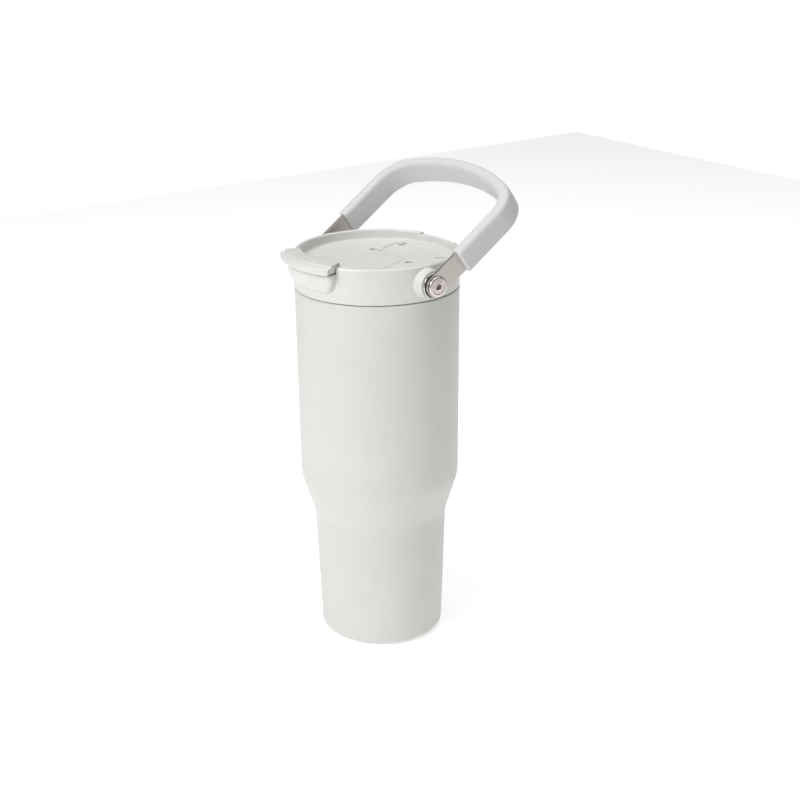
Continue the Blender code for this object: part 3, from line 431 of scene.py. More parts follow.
def coverOutline(gap):
    # neck at the hinge, straight flare to the dish wall, then the dish's own circle
    s = coverSizes
    neck, neckEnd, radius = s["neck"] + gap, s["hingeY"] - s["neckLength"], s["radius"] + gap
    a, b, c = 1 + s["flare"] ** 2, s["flare"] * neck - neckEnd, neck ** 2 + neckEnd ** 2 - radius ** 2
    reach = (-b + math.sqrt(b * b - a * c)) / a
    corner = (neck + s["flare"] * reach, neckEnd - reach)
    side = filletOutline([
        (neck, s["hingeY"], 0), (neck, neckEnd, s["neckRound"]), (*corner, 0)], closed=False, step=2)
    start = math.atan2(corner[1], corner[0])
    angle = start + (-math.pi - 2 * start) * np.linspace(0, 1, 97)[1:-1]
    front = radius * np.stack([np.cos(angle), np.sin(angle)], -1)
    return np.concatenate([side, front, side[::-1] * (-1, 1)])


def stadiumOutline(halfLength, radius, centre, turnDegrees=0):
    # two half circles joined by straight sides, turned about its centre
    a = np.radians(np.linspace(-90, 90, 25))
    cap = np.stack([halfLength + radius * np.cos(a), radius * np.sin(a)], -1)
    outline = np.concatenate([cap, -cap])
    t = math.radians(turnDegrees)
    turn = np.array([[math.cos(t), math.sin(t)], [-math.sin(t), math.cos(t)]])
    return outline @ turn + centre


def pressCutter(name, outline, floor, surface, soft, foot=0.0):
    # a cutter with a rounded foot whose rim flares over a quarter circle where it meets the surface
    levels = []
    if foot:
        levels += [(floor + foot * (1 - math.cos(a)), -foot * (1 - math.sin(a)))
                   for a in np.radians((0, 20, 40, 60, 80))]
    levels.append((floor + foot, 0))
    levels += [(surface - soft + soft * math.sin(a), soft * (1 - math.cos(a)))
               for a in np.radians(np.arange(0, 81, 10))]
    levels.append((surface + 8 * mm, levels[-1][1] + 0.05 * mm))
    return meshObject(name, [lofted(layers(outline, levels))])


def prismAlongX(name, outline, half):
    # a (y, z) outline carried straight along X
    rings = np.stack([np.column_stack([np.full(len(outline), x), outline]) for x in (-half, half)])
    return meshObject(name, [lofted(rings)])


def circleOutline(radius, centre=(0, 0), count=64):
    a = np.linspace(0, 2 * math.pi, count, endpoint=False)
    return np.stack([centre[0] + radius * np.cos(a), centre[1] + radius * np.sin(a)], -1)


def hingeRod(name, spare, half):
    # a cutter round the hinge pin, wider than it by spare
    c = coverSizes
    return prismAlongX(name, circleOutline(c["pin"] + spare, (c["hingeY"], c["hingeZ"]), 32), half)


def deckCutters():
    # everything cut from the deck: seat, trough, relief, pin bore, pockets, panel, slots, drinking hole
    s, c, d = lidSizes, coverSizes, deckSizes
    top, side = s["floor"], c["neck"] + d["fit"]
    seat = pressCutter("seatCut", coverOutline(d["fit"] - 0.01 * mm), s["seat"], top, d["softEdge"])
    trough = prismAlongX("troughCut", circleOutline(c["barrel"] + d["fit"], (c["hingeY"], c["hingeZ"])), side)
    lean = math.radians(d["opening"] - 90)
    reach = top - c["hingeZ"] + d["fit"]
    foot = np.array([c["hingeY"] + reach * math.cos(lean), c["hingeZ"] - reach * math.sin(lean)])
    edge = np.array([foot[0] + (top - foot[1]) * math.tan(lean), top])
    back = c["hingeY"] - 1 * mm
    relief = prismAlongX("reliefCut", np.array([
        (back, foot[1]), foot, edge + (-0.06 * mm, -0.35 * mm), edge + (0.05 * mm, -0.12 * mm),
        edge + (0.3 * mm, 0.03 * mm), edge + (0.3 * mm, 2 * mm), (back, edge[1] + 2 * mm)]), side)
    pinBore = hingeRod("pinCut", d["pinFit"], c["pinHalf"] + 0.3 * mm)
    cuts = [seat, trough, relief, pinBore]
    for sign, word in ((-1, "Left"), (1, "Right")):
        pocket = circleOutline(d["pocketRadius"], (sign * d["pocketX"], c["hingeY"]))
        cuts.append(pressCutter(
            "pocketCut" + word, pocket, d["pocketFloor"], top, d["pocketSoft"], d["pocketFoot"]))
    (x1, y1, r1), (x2, y2, r2) = d["panelFront"], d["panelBack"]
    panel = filletOutline([(-x1, y1, r1), (x1, y1, r1), (x2, y2, r2), (-x2, y2, r2)], step=4)
    cuts.append(pressCutter("panelCut", panel, top - d["panelDepth"], top, d["panelSoft"], 0.15 * mm))
    for sign, word in ((-1, "Left"), (1, "Right")):
        slot = stadiumOutline(
            d["slotRadius"], d["slotRadius"], (sign * d["slotX"], d["slotY"]), sign * d["slotTurn"])
        cuts.append(pressCutter("slotCut" + word, slot, top - d["slotDepth"], top - d["panelDepth"],
                                d["slotSoft"], d["slotFoot"]))
    half, radius, ahead = d["hole"]
    hole = stadiumOutline(half, radius, (0, -ahead))
    cuts.append(pressCutter("holeCut", hole, s["underside"] - 3 * mm, s["seat"], 0.4 * mm))
    return cuts


def lidDeckMesh():
    # a flat round plate from the underside to the dish floor
    s = lidSizes
    rim = circleOutline(s["deckRadius"], count=256)
    ends = (s["underside"], s["floor"])
    return lofted(np.stack([np.column_stack([rim, np.full(len(rim), z)]) for z in ends]))


bossSizes = {"y": 1.0 * mm, "z": 214.6 * mm, "radius": 7.8 * mm, "face": 50.5 * mm, "edge": 0.5 * mm,
             "fillet": 0.9 * mm, "buried": 43.0 * mm}


def bossMesh(side):
    # rings round the boss axis: wall fillet, side, rounded edge, flat face; the first rings follow the
    # lid's wall
    s, l = bossSizes, lidSizes
    a = np.linspace(0, 2 * math.pi, 128, endpoint=False)
    rings = [(0.0, s["buried"], 0), (s["radius"] + s["fillet"], s["buried"], 0)]
    rings += [(s["radius"] + s["fillet"] * (1 - math.sin(t)), s["fillet"] * (1 - math.cos(t)), 1)
              for t in np.radians(np.linspace(0, 90, 9))]
    rings += [(s["radius"] - s["edge"] * (1 - math.cos(t)), s["face"] - s["edge"] * (1 - math.sin(t)), 0)
              for t in np.radians(np.linspace(0, 90, 9))]
    rings += [(0.6 * s["radius"], s["face"], 0), (0.0, s["face"], 0)]
    points = []
    for radius, out, onWall in rings:
        y, z = s["y"] + radius * np.cos(a), s["z"] + radius * np.sin(a)
        if onWall:
            rise = np.clip(z - (l["rimTop"] - l["outerRound"]), 0, l["outerRound"] * 0.999)
            wall = l["outer"] - l["outerRound"] + np.sqrt(l["outerRound"] ** 2 - rise ** 2)
            out = np.sqrt(wall ** 2 - y ** 2) + out - 0.05 * mm
        points.append(np.stack([side * (out + 0 * a), y, z], -1))
    return np.concatenate(points), [gridFaces(len(rings), len(a), False, True)]


# Flip cover

tabSizes = {
    "turn": math.asin(20.9 / 45), "inner": 40.8 * mm, "ledge": 49.6 * mm, "tip": 52.2 * mm, "top": 226.0 * mm,
    "step": 1.6 * mm, "underside": 221.0 * mm, "planRound": 1.2 * mm, "endRound": 0.4 * mm,
    "upturn": 3.0 * mm, "upturnFrom": 45.6 * mm,
}


def tabMesh():
    # an (r, z) section at each x station, on arcs about the body axis; the ends shrink on a quarter circle
    s, c = tabSizes, coverSizes
    low = s["top"] - s["step"]
    section = filletOutline([
        (s["inner"] - 1.4 * mm, c["bottom"] + 0.5 * mm, 0),
        (c["radius"] - 0.1 * mm, c["bottom"] + 0.5 * mm, 0.2 * mm),
        (c["radius"] - 0.1 * mm, s["underside"], 0.4 * mm), (s["tip"], s["underside"], 0.9 * mm),
        (s["tip"], low, 1.3 * mm), (s["ledge"] + 0.15 * mm, low - 0.05 * mm, 0.7 * mm),
        (s["ledge"] - 0.2 * mm, s["top"], 0.9 * mm), (s["inner"], s["top"], 1.0 * mm),
        (s["inner"] - 1.2 * mm, c["top"] - 0.3 * mm, 0.2 * mm)], step=10)
    end = np.radians(np.linspace(0, 90, 8)[:-1])
    share = np.concatenate([-1 + 0 * end, np.linspace(-1, 1, 81), 1 + 0 * end])
    shrink = np.concatenate([1 - np.sin(end), np.zeros(81), (1 - np.sin(end))[::-1]])
    back = np.concatenate([np.cos(end), np.zeros(81), np.cos(end)[::-1]])
    rings = []
    for part, inner, short in zip(share, shrink, back):
        r, z = offset(section, -s["endRound"] * inner).T
        over = np.clip(r - (s["tip"] - s["planRound"]), 0, s["planRound"])
        short = s["planRound"] - np.sqrt(s["planRound"] ** 2 - over ** 2) + s["endRound"] * short
        angle = part * (s["turn"] - short / r)
        # towards each end the overhang's underside turns up on a quarter circle, none of it at the top
        past = np.clip(s["upturn"] - r * (s["turn"] - np.abs(angle)), 0, 0.93 * s["upturn"])
        lift = s["upturn"] - np.sqrt(s["upturn"] ** 2 - past ** 2)
        depth = np.clip((s["top"] - z) / (s["top"] - s["underside"]), 0, 1)
        z = z + 0.9 * lift * depth * smoothStep((r - s["upturnFrom"]) / mm)
        rings.append(np.stack([r * np.sin(angle), -r * np.cos(angle), z], -1))
    return lofted(np.stack(rings))


def coverPlateMesh():
    # the cover's outline carried up, with a small bevel below and a rounded top edge
    s = coverSizes
    e = s["edge"]
    levels = [(s["bottom"], -0.2 * mm), (s["bottom"] + 0.2 * mm, 0)]
    levels += [(s["top"] - e + e * math.sin(a), -e * (1 - math.cos(a)))
               for a in np.radians(np.linspace(0, 90, 8))]
    return lofted(layers(coverOutline(0), levels))


def rodMesh(radius, half, y, z, edge, steps=64):
    # a rod along X with rounded ends
    outline = filletOutline([
        (0, -half, 0), (radius, -half, edge), (radius, half, edge), (0, half, 0)], step=15)
    cloud, faces = turned(outline, steps)
    return np.column_stack([cloud[:, 2], y + cloud[:, 0], z + cloud[:, 1]]), faces


plugSizes = {"top": 216.3 * mm, "bottom": 214.1 * mm, "edge": 0.5 * mm, "fit": 0.4 * mm}


def coverPlugMesh():
    # a long round-ended pad, a little smaller than the drinking hole, with a rounded lower edge
    half, radius, back = deckSizes["hole"]
    outline = stadiumOutline(half, radius - plugSizes["fit"], (0, -back))
    top, bottom, e = plugSizes["top"], plugSizes["bottom"], plugSizes["edge"]
    levels = [(bottom + e * (1 - math.cos(a)), -e * (1 - math.sin(a)))
              for a in np.radians(np.linspace(0, 90, 7))]
    levels += [(top - 0.5 * mm, 0), (top, -0.1 * mm)]
    return lofted(layers(outline, levels))


# Handle pivots

pivotSizes = {
    "cupBase": 50.8 * mm, "cupRadius": 6.9 * mm, "cupWall": 0.5 * mm, "cupRim": 52.2 * mm,
    "washer": (2.9 * mm, 6.1 * mm, 51.6 * mm, 52.2 * mm), "shoulderBase": 51.6 * mm,
    "headBase": 54.4 * mm, "headTop": 55.6 * mm, "head": 5.6 * mm, "shoulder": 2.6 * mm, "shank": 1.65 * mm,
    "shankEnd": 45.5 * mm, "bore": 1.95 * mm, "socket": 1.9 * mm, "socketDepth": 2.0 * mm,
}


def screwOutline():
    s = pivotSizes
    top, head = s["headTop"], s["head"]
    return filletOutline([
        (0, s["shankEnd"], 0), (s["shank"], s["shankEnd"], 0.4 * mm), (s["shank"], s["shoulderBase"], 0),
        (s["shoulder"], s["shoulderBase"], 0.1 * mm), (s["shoulder"], s["headBase"], 0),
        (head, s["headBase"], 0.3 * mm), (head, top - 0.15 * mm, 0.8 * mm), (0.70 * head, top, 0.3 * mm),
        (0.67 * head, top - 0.32 * mm, 0.12 * mm), (0.61 * head, top - 0.32 * mm, 0.12 * mm),
        (0.58 * head, top, 0.15 * mm), (0, top, 0)], step=12)


def cupOutline():
    s = pivotSizes
    outer, wall, base, rim = s["cupRadius"], s["cupWall"], s["cupBase"], s["cupRim"]
    return filletOutline([
        (s["bore"], base, 0), (outer, base, 0.7 * mm), (outer, rim, 0.3 * mm), (outer - wall, rim, 0.3 * mm),
        (outer - wall, base + wall, 0.3 * mm), (s["bore"], base + wall, 0)], step=12)


def washerOutline():
    inner, outer, low, high = pivotSizes["washer"]
    return filletOutline([
        (inner, low, 0.1 * mm), (outer, low, 0.2 * mm), (outer, high, 0.2 * mm), (inner, high, 0.1 * mm),
    ], step=20)


def pivotPiece(name, outline, side, steps=160):
    # the outline turned round an X axis through the pivot, heights pointing outwards
    cloud, faces = turned(outline, steps)
    x, y, z = cloud.T
    return meshObject(name, [(np.column_stack([side * z, bossSizes["y"] + y, bossSizes["z"] + x]), faces)])


def hexCutter(side):
    # a six-sided socket, flared at the head's face
    s = pivotSizes
    rings = []
    for below, radius in ((s["socketDepth"], 0.97), (0.25 * mm, 1.0), (-0.05 * mm, 1.14), (-2 * mm, 1.2)):
        x = s["headTop"] - below
        a = np.radians(np.arange(6) * 60 + 12)
        rings.append(np.stack([0 * a + side * x, bossSizes["y"] + radius * s["socket"] * np.cos(a),
                               bossSizes["z"] + radius * s["socket"] * np.sin(a)], -1))
    return meshObject("hexCut", [lofted(np.stack(rings))])


# Handle

handleSizes = {
    "tilt": 55, "halfSpan": 57.5 * mm, "leg": 49.1 * mm, "corner": 21.3 * mm, "crown": 122.3 * mm,
    "gripStart": 19.0 * mm, "gripThick": 7.3 * mm, "gripWidth": 14.6 * mm, "gripRound": 2.4 * mm,
    "gripCrown": 0.25 * mm, "bandInset": 3.4 * mm, "bandThick": 1.6 * mm, "bandWidth": 12.2 * mm,
    "bandEdge": 0.18 * mm, "bandBore": 2.9 * mm, "gripEnd": 0.9 * mm,
}


def handlePath(depth, start, legSteps=16):
    # leg, corner arc and crown arc in the handle's plane, with outward normals and run lengths
    s = handleSizes
    cornerX = s["halfSpan"] - s["corner"]
    tilt = math.asin(cornerX / (s["crown"] - s["corner"]))
    crownZ = s["leg"] - (s["crown"] - s["corner"]) * math.cos(tilt)
    height = np.linspace(start, s["leg"], legSteps, endpoint=False)
    leg = np.stack([0 * height + s["halfSpan"] - depth, height, 1 + 0 * height, 0 * height], -1)
    a = np.linspace(0, math.pi / 2 - tilt, 40, endpoint=False)
    reach = s["corner"] - depth
    corner = np.stack([cornerX + reach * np.cos(a), s["leg"] + reach * np.sin(a), np.cos(a), np.sin(a)], -1)
    a = np.linspace(math.pi / 2 - tilt, math.pi / 2, 33)
    reach = s["crown"] - depth
    crown = np.stack([reach * np.cos(a), crownZ + reach * np.sin(a), np.cos(a), np.sin(a)], -1)
    right = np.concatenate([leg, corner, crown])
    left = right[:-1] * (-1, 1, -1, 1)
    return np.concatenate([left, right[::-1]])


def handleSweep(path, rings):
    # (outward, across) rings set on the path, then tilted back about the pivot
    x, z, nx, nz = path.T[:, :, None]
    out, across = rings[:, :, 0], rings[:, :, 1]
    px, pz = x + nx * out, z + nz * out
    t = math.radians(handleSizes["tilt"])
    y = across * math.cos(t) + pz * math.sin(t) + bossSizes["y"]
    h = -across * math.sin(t) + pz * math.cos(t) + bossSizes["z"]
    return lofted(np.stack([px, y, h], -1))


def gripMesh():
    # a soft rounded box section, its broad faces slightly crowned, with rounded ends
    s = handleSizes
    w, t = s["gripWidth"] / 2, s["gripThick"]
    corner = s["gripRound"]
    section = filletOutline([(-t, -w, corner), (0, -w, corner), (0, w, corner), (-t, w, corner)], step=9)
    wide = []
    for k in range(len(section)):
        here, there = section[k], section[(k + 1) % len(section)]
        parts = max(1, int(np.linalg.norm(there - here) / (0.8 * mm)))
        wide.append(here + (there - here) * (np.arange(parts) / parts)[:, None])
    section = np.concatenate(wide)
    bulge = s["gripCrown"] * (1 - (section[:, 1] / w) ** 2)
    section[:, 0] += np.where(section[:, 0] > -t / 2, 1, -1) * (bulge - s["gripCrown"])
    path = handlePath(0.0, s["gripStart"], 24)
    end = np.radians(np.linspace(0, 90, 8))
    soft = s["gripEnd"]
    rings = np.repeat(section[None], len(path), 0)
    caps = np.stack([offset(section, -soft * (1 - math.sin(a))) for a in end[:-1]])
    none = 0 * end[:-1]
    low = path[0][None] + np.stack([none, soft * (1 - np.cos(end[:-1])), none, none], -1)
    path[0, 1] += soft
    path[-1, 1] += soft
    full = np.concatenate([low, path, (low * (-1, 1, -1, 1))[::-1]])
    return handleSweep(full, np.concatenate([caps, rings, caps[::-1]]))


def bandMesh():
    # flat strip with softened edges and half-round ends; the strip map runs (length, across)
    s = handleSizes
    path = handlePath(s["bandInset"], 0.0, 30)
    half, thick = s["bandWidth"] / 2, s["bandThick"]
    a = np.radians(np.linspace(4, 86, 20))
    low = np.stack([0 * a + path[0, 0], -half * np.cos(a), 0 * a - 1, 0 * a], -1)
    width = np.concatenate([half * np.sin(a), np.full(len(path), half), (half * np.sin(a))[::-1]])
    full = np.concatenate([low, path, (low * (-1, 1, -1, 1))[::-1]])
    e = s["bandEdge"]
    shape = np.array([(-thick + e, -1, 0), (-e, -1, 0), (0, -1, e), (0, 0, 0), (0, 1, -e), (-e, 1, 0),
                      (-thick + e, 1, 0), (-thick, 1, -e), (-thick, 0, 0), (-thick, -1, e)])
    out = np.repeat(shape[None, :, 0], len(full), 0)
    across = shape[None, :, 1] * width[:, None] + shape[None, :, 2]
    points, faces = handleSweep(full, np.stack([out, across], -1))
    run = np.concatenate([[0], np.cumsum(np.linalg.norm(np.diff(full[:, :2], axis=0), axis=1))])
    strip = np.stack([np.repeat(run[:, None], len(shape), 1), across + 0.2 * out], -1).reshape(-1, 2)
    return (points, faces), strip


# Finishes

def powderCoat():
    # fine orange peel over a dense grain, with faint clouding
    look = {"colour": (0.606, 0.609, 0.581), "cloud": 0.035, "peel": 1300, "grain": 5200, "rough": 0.42}
    sheet = Sheet("powderCoat", Specular_IOR_Level=0.45)
    spot = sheet.place()
    cloud = sheet.noise(spot, 28, 3)
    peel = sheet.noise(spot, look["peel"], 2)
    grain = sheet.noise(spot, look["grain"], 1)
    tone = sheet.range(cloud + (grain - 0.5) * 0.35, 0.0, 1.0)
    pale, dim = 1 + look["cloud"] / 2, 1 - look["cloud"]
    colour = sheet.blend(tone, shade(look["colour"], dim), shade(look["colour"], pale))
    height = peel * 0.7 + grain * 0.3
    rough = sheet.range(peel, look["rough"] - 0.05, look["rough"] + 0.07)
    return sheet.out(Base_Color=colour, Roughness=rough, Normal=sheet.bump(height, 0.00006, 0.5))


def mouldedPlastic(name, colour, rough, warm=0.02):
    # smooth moulding with a trace of flow marks and a very fine surface grain
    sheet = Sheet(name, Specular_IOR_Level=0.5)
    spot = sheet.place()
    flow = sheet.noise(sheet.place((1, 1, 2.5)), 45, 3, 0.6)
    grain = sheet.noise(spot, 3800, 2)
    tone = sheet.range(flow + (grain - 0.5) * 0.2, 0.0, 1.0)
    tint = sheet.blend(tone, shade(colour, 1 - warm), shade(colour, 1 + warm / 2))
    gloss = sheet.range(grain + (flow - 0.5) * 0.6, rough - 0.05, rough + 0.06)
    return sheet.out(Base_Color=tint, Roughness=gloss, Normal=sheet.bump(grain, 0.00002, 0.35))


def softRubber(name, colour, rough, grainScale=2600, depth=0.00006, pitShadeAndCloud=0.04):
    # matt skin with a pebbled grain, its colour clouded at random and darkened as painted shade in the
    # grain's pits
    sheet = Sheet(name, Specular_IOR_Level=0.35)
    spot = sheet.place()
    pebble = sheet.add("ShaderNodeTexVoronoi", {"feature": "F1"}, {"Vector": spot, "Scale": grainScale})
    grain = sheet.noise(spot, grainScale * 1.7, 2)
    cloud = sheet.noise(spot, 60, 3)
    # painted shade: the pits of the pebbled grain, where the bump dips, come out darker; the slow cloud adds
    # random tone
    tone = sheet.range(cloud * 0.6 + pebble * 0.4, 0.0, 1.0, 0.2, 0.75)
    tint = sheet.blend(tone, shade(colour, 1 - pitShadeAndCloud), shade(colour, 1 + pitShadeAndCloud / 2))
    return sheet.out(Base_Color=tint, Roughness=sheet.range(grain, rough - 0.05, rough + 0.08),
                     Normal=sheet.bump(pebble * 0.6 + grain * 0.4, depth, 0.5))


def turnedMetal(name, colour, rough, rings=9000, depth=0.000004, centre=(0, -1.0 * mm, -214.6 * mm)):
    # fine concentric tool marks round an X axis, drawn from the distance to it
    sheet = Sheet(name, Metallic=1.0)
    spot = sheet.place(centre=centre)
    split = sheet.add("ShaderNodeSeparateXYZ", None, {0: spot})
    x, y, z = (Wire(sheet, socket) for socket in split.socket.node.outputs)
    radius = (y * y + z * z) ** 0.5
    marks = sheet.add("ShaderNodeTexNoise", {"noise_dimensions": "1D"}, {
        "W": radius * rings + x * 300, "Scale": 1.0, "Detail": 3.0})
    haze = sheet.noise(sheet.place(), 420, 3)
    tone = sheet.range(marks + (haze - 0.5) * 0.4, 0.0, 1.0)
    tint = sheet.blend(tone, shade(colour, 0.86), shade(colour, 1.05))
    gloss = sheet.range(marks + (haze - 0.5) * 0.8, rough - 0.05, rough + 0.10)
    return sheet.out(Base_Color=tint, Roughness=gloss, Normal=sheet.bump(marks, depth, 0.6))


def brushedStrip():
    # long brush marks that follow the strip's own map
    look = {"colour": (0.58, 0.535, 0.50), "rough": 0.30}
    sheet = Sheet("brushedStrip", Metallic=1.0)
    marks = sheet.noise(sheet.place((120, 9000, 1), "UV"), 1.0, 4, 0.65)
    wide = sheet.noise(sheet.place((60, 1500, 1), "UV"), 1.0, 3)
    tone = sheet.range(marks * 0.6 + wide * 0.4, 0.0, 1.0)
    tint = sheet.blend(tone, shade(look["colour"], 0.84), shade(look["colour"], 1.06))
    gloss = sheet.range(marks, look["rough"] - 0.06, look["rough"] + 0.12)
    return sheet.out(Base_Color=tint, Roughness=gloss, Normal=sheet.bump(marks, 0.000006, 0.5))


def vesselSteel():
    # bare drawn steel, brushed round the wall: the marks are long in X and Y and short in Z
    look = {"colour": (0.56, 0.545, 0.53), "rough": 0.32}
    sheet = Sheet("vesselSteel", Metallic=1.0)
    marks = sheet.noise(sheet.place((30, 30, 5000)), 1.0, 4, 0.6)
    haze = sheet.noise(sheet.place(), 90, 3)
    tone = sheet.range(marks * 0.7 + haze * 0.3, 0.0, 1.0)
    tint = sheet.blend(tone, shade(look["colour"], 0.88), shade(look["colour"], 1.05))
    gloss = sheet.range(marks + (haze - 0.5) * 0.5, look["rough"] - 0.06, look["rough"] + 0.1)
    return sheet.out(Base_Color=tint, Roughness=gloss, Normal=sheet.bump(marks, 0.000006, 0.5))


def sinteredPill():
    # pressed powder: coarse speckle and pits
    sheet = Sheet("sinteredPill", Metallic=0.8)
    spot = sheet.place()
    speck = sheet.add("ShaderNodeTexVoronoi", {"feature": "F1"}, {"Vector": spot, "Scale": 3500})
    grain = sheet.noise(spot, 2400, 4)
    tone = sheet.range(speck * 0.5 + grain * 0.5, 0, 1)
    tint = sheet.blend(tone, (0.25, 0.24, 0.23, 1), (0.42, 0.41, 0.39, 1))
    return sheet.out(Base_Color=tint, Roughness=sheet.range(grain, 0.5, 0.75),
                     Normal=sheet.bump(speck + grain, 0.00005, 0.7))


def studioFloor():
    # matt white with faint clouding, lit a little from within so that it meets the backdrop
    sheet = Sheet("studioFloor", Roughness=0.9, Specular_IOR_Level=0.1, Emission_Color=(1, 1, 1, 1),
                  Emission_Strength=0.38)
    cloud = sheet.noise(sheet.place(), 3, 2)
    return sheet.out(Base_Color=sheet.blend(cloud, (0.93, 0.93, 0.93, 1), (0.95, 0.95, 0.95, 1)))


skins = {
    "coat": powderCoat(),
    "lid": mouldedPlastic("lidPlastic", (0.640, 0.643, 0.621), 0.33),
    "liner": mouldedPlastic("linerPlastic", (0.74, 0.74, 0.72), 0.42),
    "seal": softRubber("siliconeSeal", (0.70, 0.71, 0.70), 0.5, 1800, 0.00003),
    "pad": softRubber("padRubber", (0.62, 0.62, 0.60), 0.68, 1600, 0.00009, 0.08),
    "grip": softRubber("gripSilicone", (0.60, 0.60, 0.60), 0.56, 2600, 0.00005, 0.025),
    "strip": brushedStrip(),
    "screw": turnedMetal("screwSteel", (0.68, 0.61, 0.59), 0.30),
    "chrome": turnedMetal("polishedSteel", (0.72, 0.70, 0.69), 0.12, 5000, 0.000002),
    "nylon": softRubber("blackNylon", (0.018, 0.017, 0.017), 0.48, 3000, 0.00003, 0.2),
    "brass": turnedMetal("turnedBrass", (0.66, 0.48, 0.22), 0.33),
    "vessel": vesselSteel(),
    "getter": sinteredPill(),
}
skins["pin"] = turnedMetal("pinSteel", (0.60, 0.58, 0.56), 0.28, 6000, 0.000003, (0, -9.8 * mm, -216.95 * mm))
print("finishes made")


# Pieces

finishPiece(meshObject("bodyShell", [bodyShellMesh()]), skins["coat"], "vessel", "powder_coat", "outer_shell")
finishPiece(meshObject("basePad", [basePadMesh()]), skins["pad"], "vessel", "pad", "base_pad")
print("body made")

finishPiece(meshObject("lidShell", [lidShellMesh()], 32), skins["lid"], "lid", "lid_plastic", "lid_body")
deck = meshObject("lidDeck", [lidDeckMesh()])
carve(deck, deckCutters())
finishPiece(deck, skins["lid"], "lid", "lid_plastic")
for side, word in ((-1, "Left"), (1, "Right")):
    finishPiece(meshObject("lidBoss" + word, [bossMesh(side)]), skins["lid"], "lid", "lid_plastic")
print("lid made")

finishPiece(meshObject("coverPlate", [coverPlateMesh()]), skins["lid"], "cover", "lid_plastic", "flip_cover")
finishPiece(meshObject("coverTab", [tabMesh()]), skins["lid"], "cover", "lid_plastic")
c = coverSizes
barrel = meshObject("coverBarrel", [rodMesh(c["barrel"], c["neck"], c["hingeY"], c["hingeZ"], 0.2 * mm)])
carve(barrel, [hingeRod("barrelBore", deckSizes["pinFit"], c["neck"] + 1 * mm)])
finishPiece(barrel, skins["lid"], "cover", "lid_plastic")
finishPiece(meshObject("coverPlug", [coverPlugMesh()]), skins["seal"], "cover", "silicone", "cover_plug")
finishPiece(meshObject("hingePin", [rodMesh(c["pin"], c["pinHalf"], c["hingeY"], c["hingeZ"], 0.25 * mm)]),
            skins["pin"], "lid", "steel", "hinge_pin")
print("cover made")

for side, word in ((-1, "left"), (1, "right")):
    screw = pivotPiece("pivotScrew_" + word, screwOutline(), side)
    carve(screw, [hexCutter(side)])
    finishPiece(screw, skins["screw"], "lid", "screw_steel", "pivot_screw_" + word)
    cup = pivotPiece("cupWasher_" + word, cupOutline(), side)
    finishPiece(cup, skins["chrome"], "lid", "polished_steel", "cup_washer_" + word)
    washer = pivotPiece("frictionWasher_" + word, washerOutline(), side)
    finishPiece(washer, skins["nylon"], "lid", "black_nylon", "friction_washer_" + word)
print("pivots made")

bandParts, stripMap = bandMesh()
band = meshObject("handleBand", [bandParts], 35, stripMap)
boreLine = circleOutline(handleSizes["bandBore"], (bossSizes["y"], bossSizes["z"]), 48)
carve(band, [prismAlongX("bandBore", boreLine, 1.2 * handleSizes["halfSpan"])])
finishPiece(band, skins["strip"], "handle", "screw_steel", "handle_band")
finishPiece(meshObject("gripCover", [gripMesh()]), skins["grip"], "handle", "grip", "handle_grip")
print("handle made")

for node, skin, slotName in (
    ("inner_vessel", "vessel", "steel"), ("shell_bottom", "vessel", "steel"),
    ("getter", "getter", "getter_metal"),
    ("lid_liner", "liner", "liner_plastic"), ("lid_gasket", "seal", "silicone"),
    ("threaded_insert_left", "brass", "brass"), ("threaded_insert_right", "brass", "brass"),
):
    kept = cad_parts[node]
    kept.data.materials.clear()
    kept.data.materials.append(skins[skin])
print("inner pieces finished")


# Studio

studio = {  # lights in watts, places and sizes in metres; the backdrop shows white but lights softly
    "key": 11.6, "keyPlace": (0.21, -1.07, 0.98), "keySize": (0.5, 0.6),
    "top": 19.0, "topPlace": (0.1, 0.15, 1.75), "topSize": (1.8, 1.8),
    "aim": (0, 0, 0.13), "world": 0.25, "backdrop": 1.0, "floorHalf": 1.1,
}
view = {  # degrees: below level, round from the front, roll; shifts in sensor widths
    "place": (0.70735, -0.4771, 0.44465), "down": 21.125, "around": 56, "roll": -0.873,
    "lens": 72.9, "sensor": 36, "shift": (0.0258, 0.0455),
}


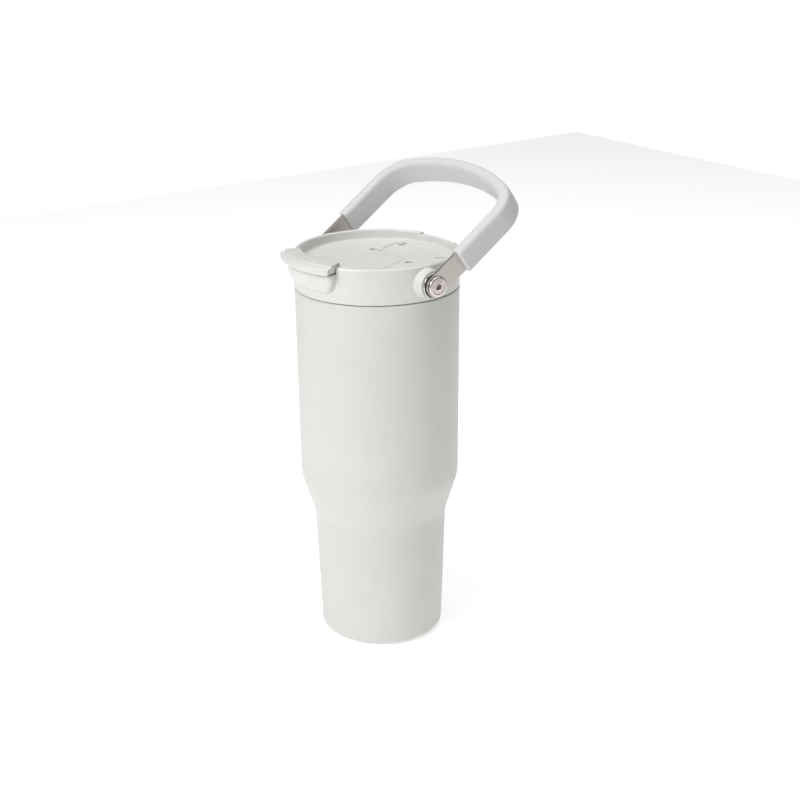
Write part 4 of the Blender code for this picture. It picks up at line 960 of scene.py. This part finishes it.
def softBox(name, place, aim, size, power):
    # a rectangular area light at place, facing aim
    light = bpy.data.lights.new(name, "AREA")
    light.shape, light.size, light.size_y, light.energy = "RECTANGLE", size[0], size[1], power
    made = bpy.data.objects.new(name, light)
    made.location = place
    made.rotation_euler = (Vector(aim) - Vector(place)).to_track_quat("-Z", "Y").to_euler()
    bpy.context.scene.collection.objects.link(made)


floorMesh = bpy.data.meshes.new("studioFloor")
reach, level = studio["floorHalf"], -0.2 * mm
corners = [(-reach, -reach, level), (reach, -reach, level), (reach, reach, level), (-reach, reach, level)]
floorMesh.from_pydata(corners, [], [(0, 1, 2, 3)])
floorMesh.materials.append(studioFloor())
ground = bpy.data.objects.new("studioFloor", floorMesh)
bpy.context.scene.collection.objects.link(ground)

world = bpy.data.worlds.new("studio")
world.use_nodes = True
backdrop = world.node_tree.nodes["Background"]
backdrop.inputs["Color"].default_value = (1, 1, 1, 1)
seen = world.node_tree.nodes.new("ShaderNodeLightPath")
glow = world.node_tree.nodes.new("ShaderNodeMapRange")
glow.inputs["To Min"].default_value = studio["world"]
glow.inputs["To Max"].default_value = studio["backdrop"]
world.node_tree.links.new(seen.outputs["Is Camera Ray"], glow.inputs["Value"])
world.node_tree.links.new(glow.outputs["Result"], backdrop.inputs["Strength"])
bpy.context.scene.world = world

for light in ("key", "top"):
    softBox(light + "Light", studio[light + "Place"], studio["aim"], studio[light + "Size"], studio[light])

eye = bpy.data.cameras.new("studioCamera")
eye.lens, eye.sensor_width = view["lens"], view["sensor"]
eye.shift_x, eye.shift_y = view["shift"]
eye.clip_start, eye.clip_end = 0.01, 30
camera = bpy.data.objects.new("studioCamera", eye)
down, around, roll = (math.radians(view[turn]) for turn in ("down", "around", "roll"))
ahead = Vector((-math.sin(around) * math.cos(down), math.cos(around) * math.cos(down), -math.sin(down)))
right = Vector((math.cos(around), math.sin(around), 0))
up = Vector((-math.sin(around) * math.sin(down), math.cos(around) * math.sin(down), math.cos(down)))
rolledRight = math.cos(roll) * right + math.sin(roll) * up
rolledUp = math.cos(roll) * up - math.sin(roll) * right
camera.matrix_world = Matrix((rolledRight, rolledUp, -ahead)).transposed().to_4x4()
camera.location = view["place"]
bpy.context.scene.collection.objects.link(camera)
bpy.context.scene.camera = camera
bpy.context.scene.view_settings.view_transform = "Standard"
print("studio set")
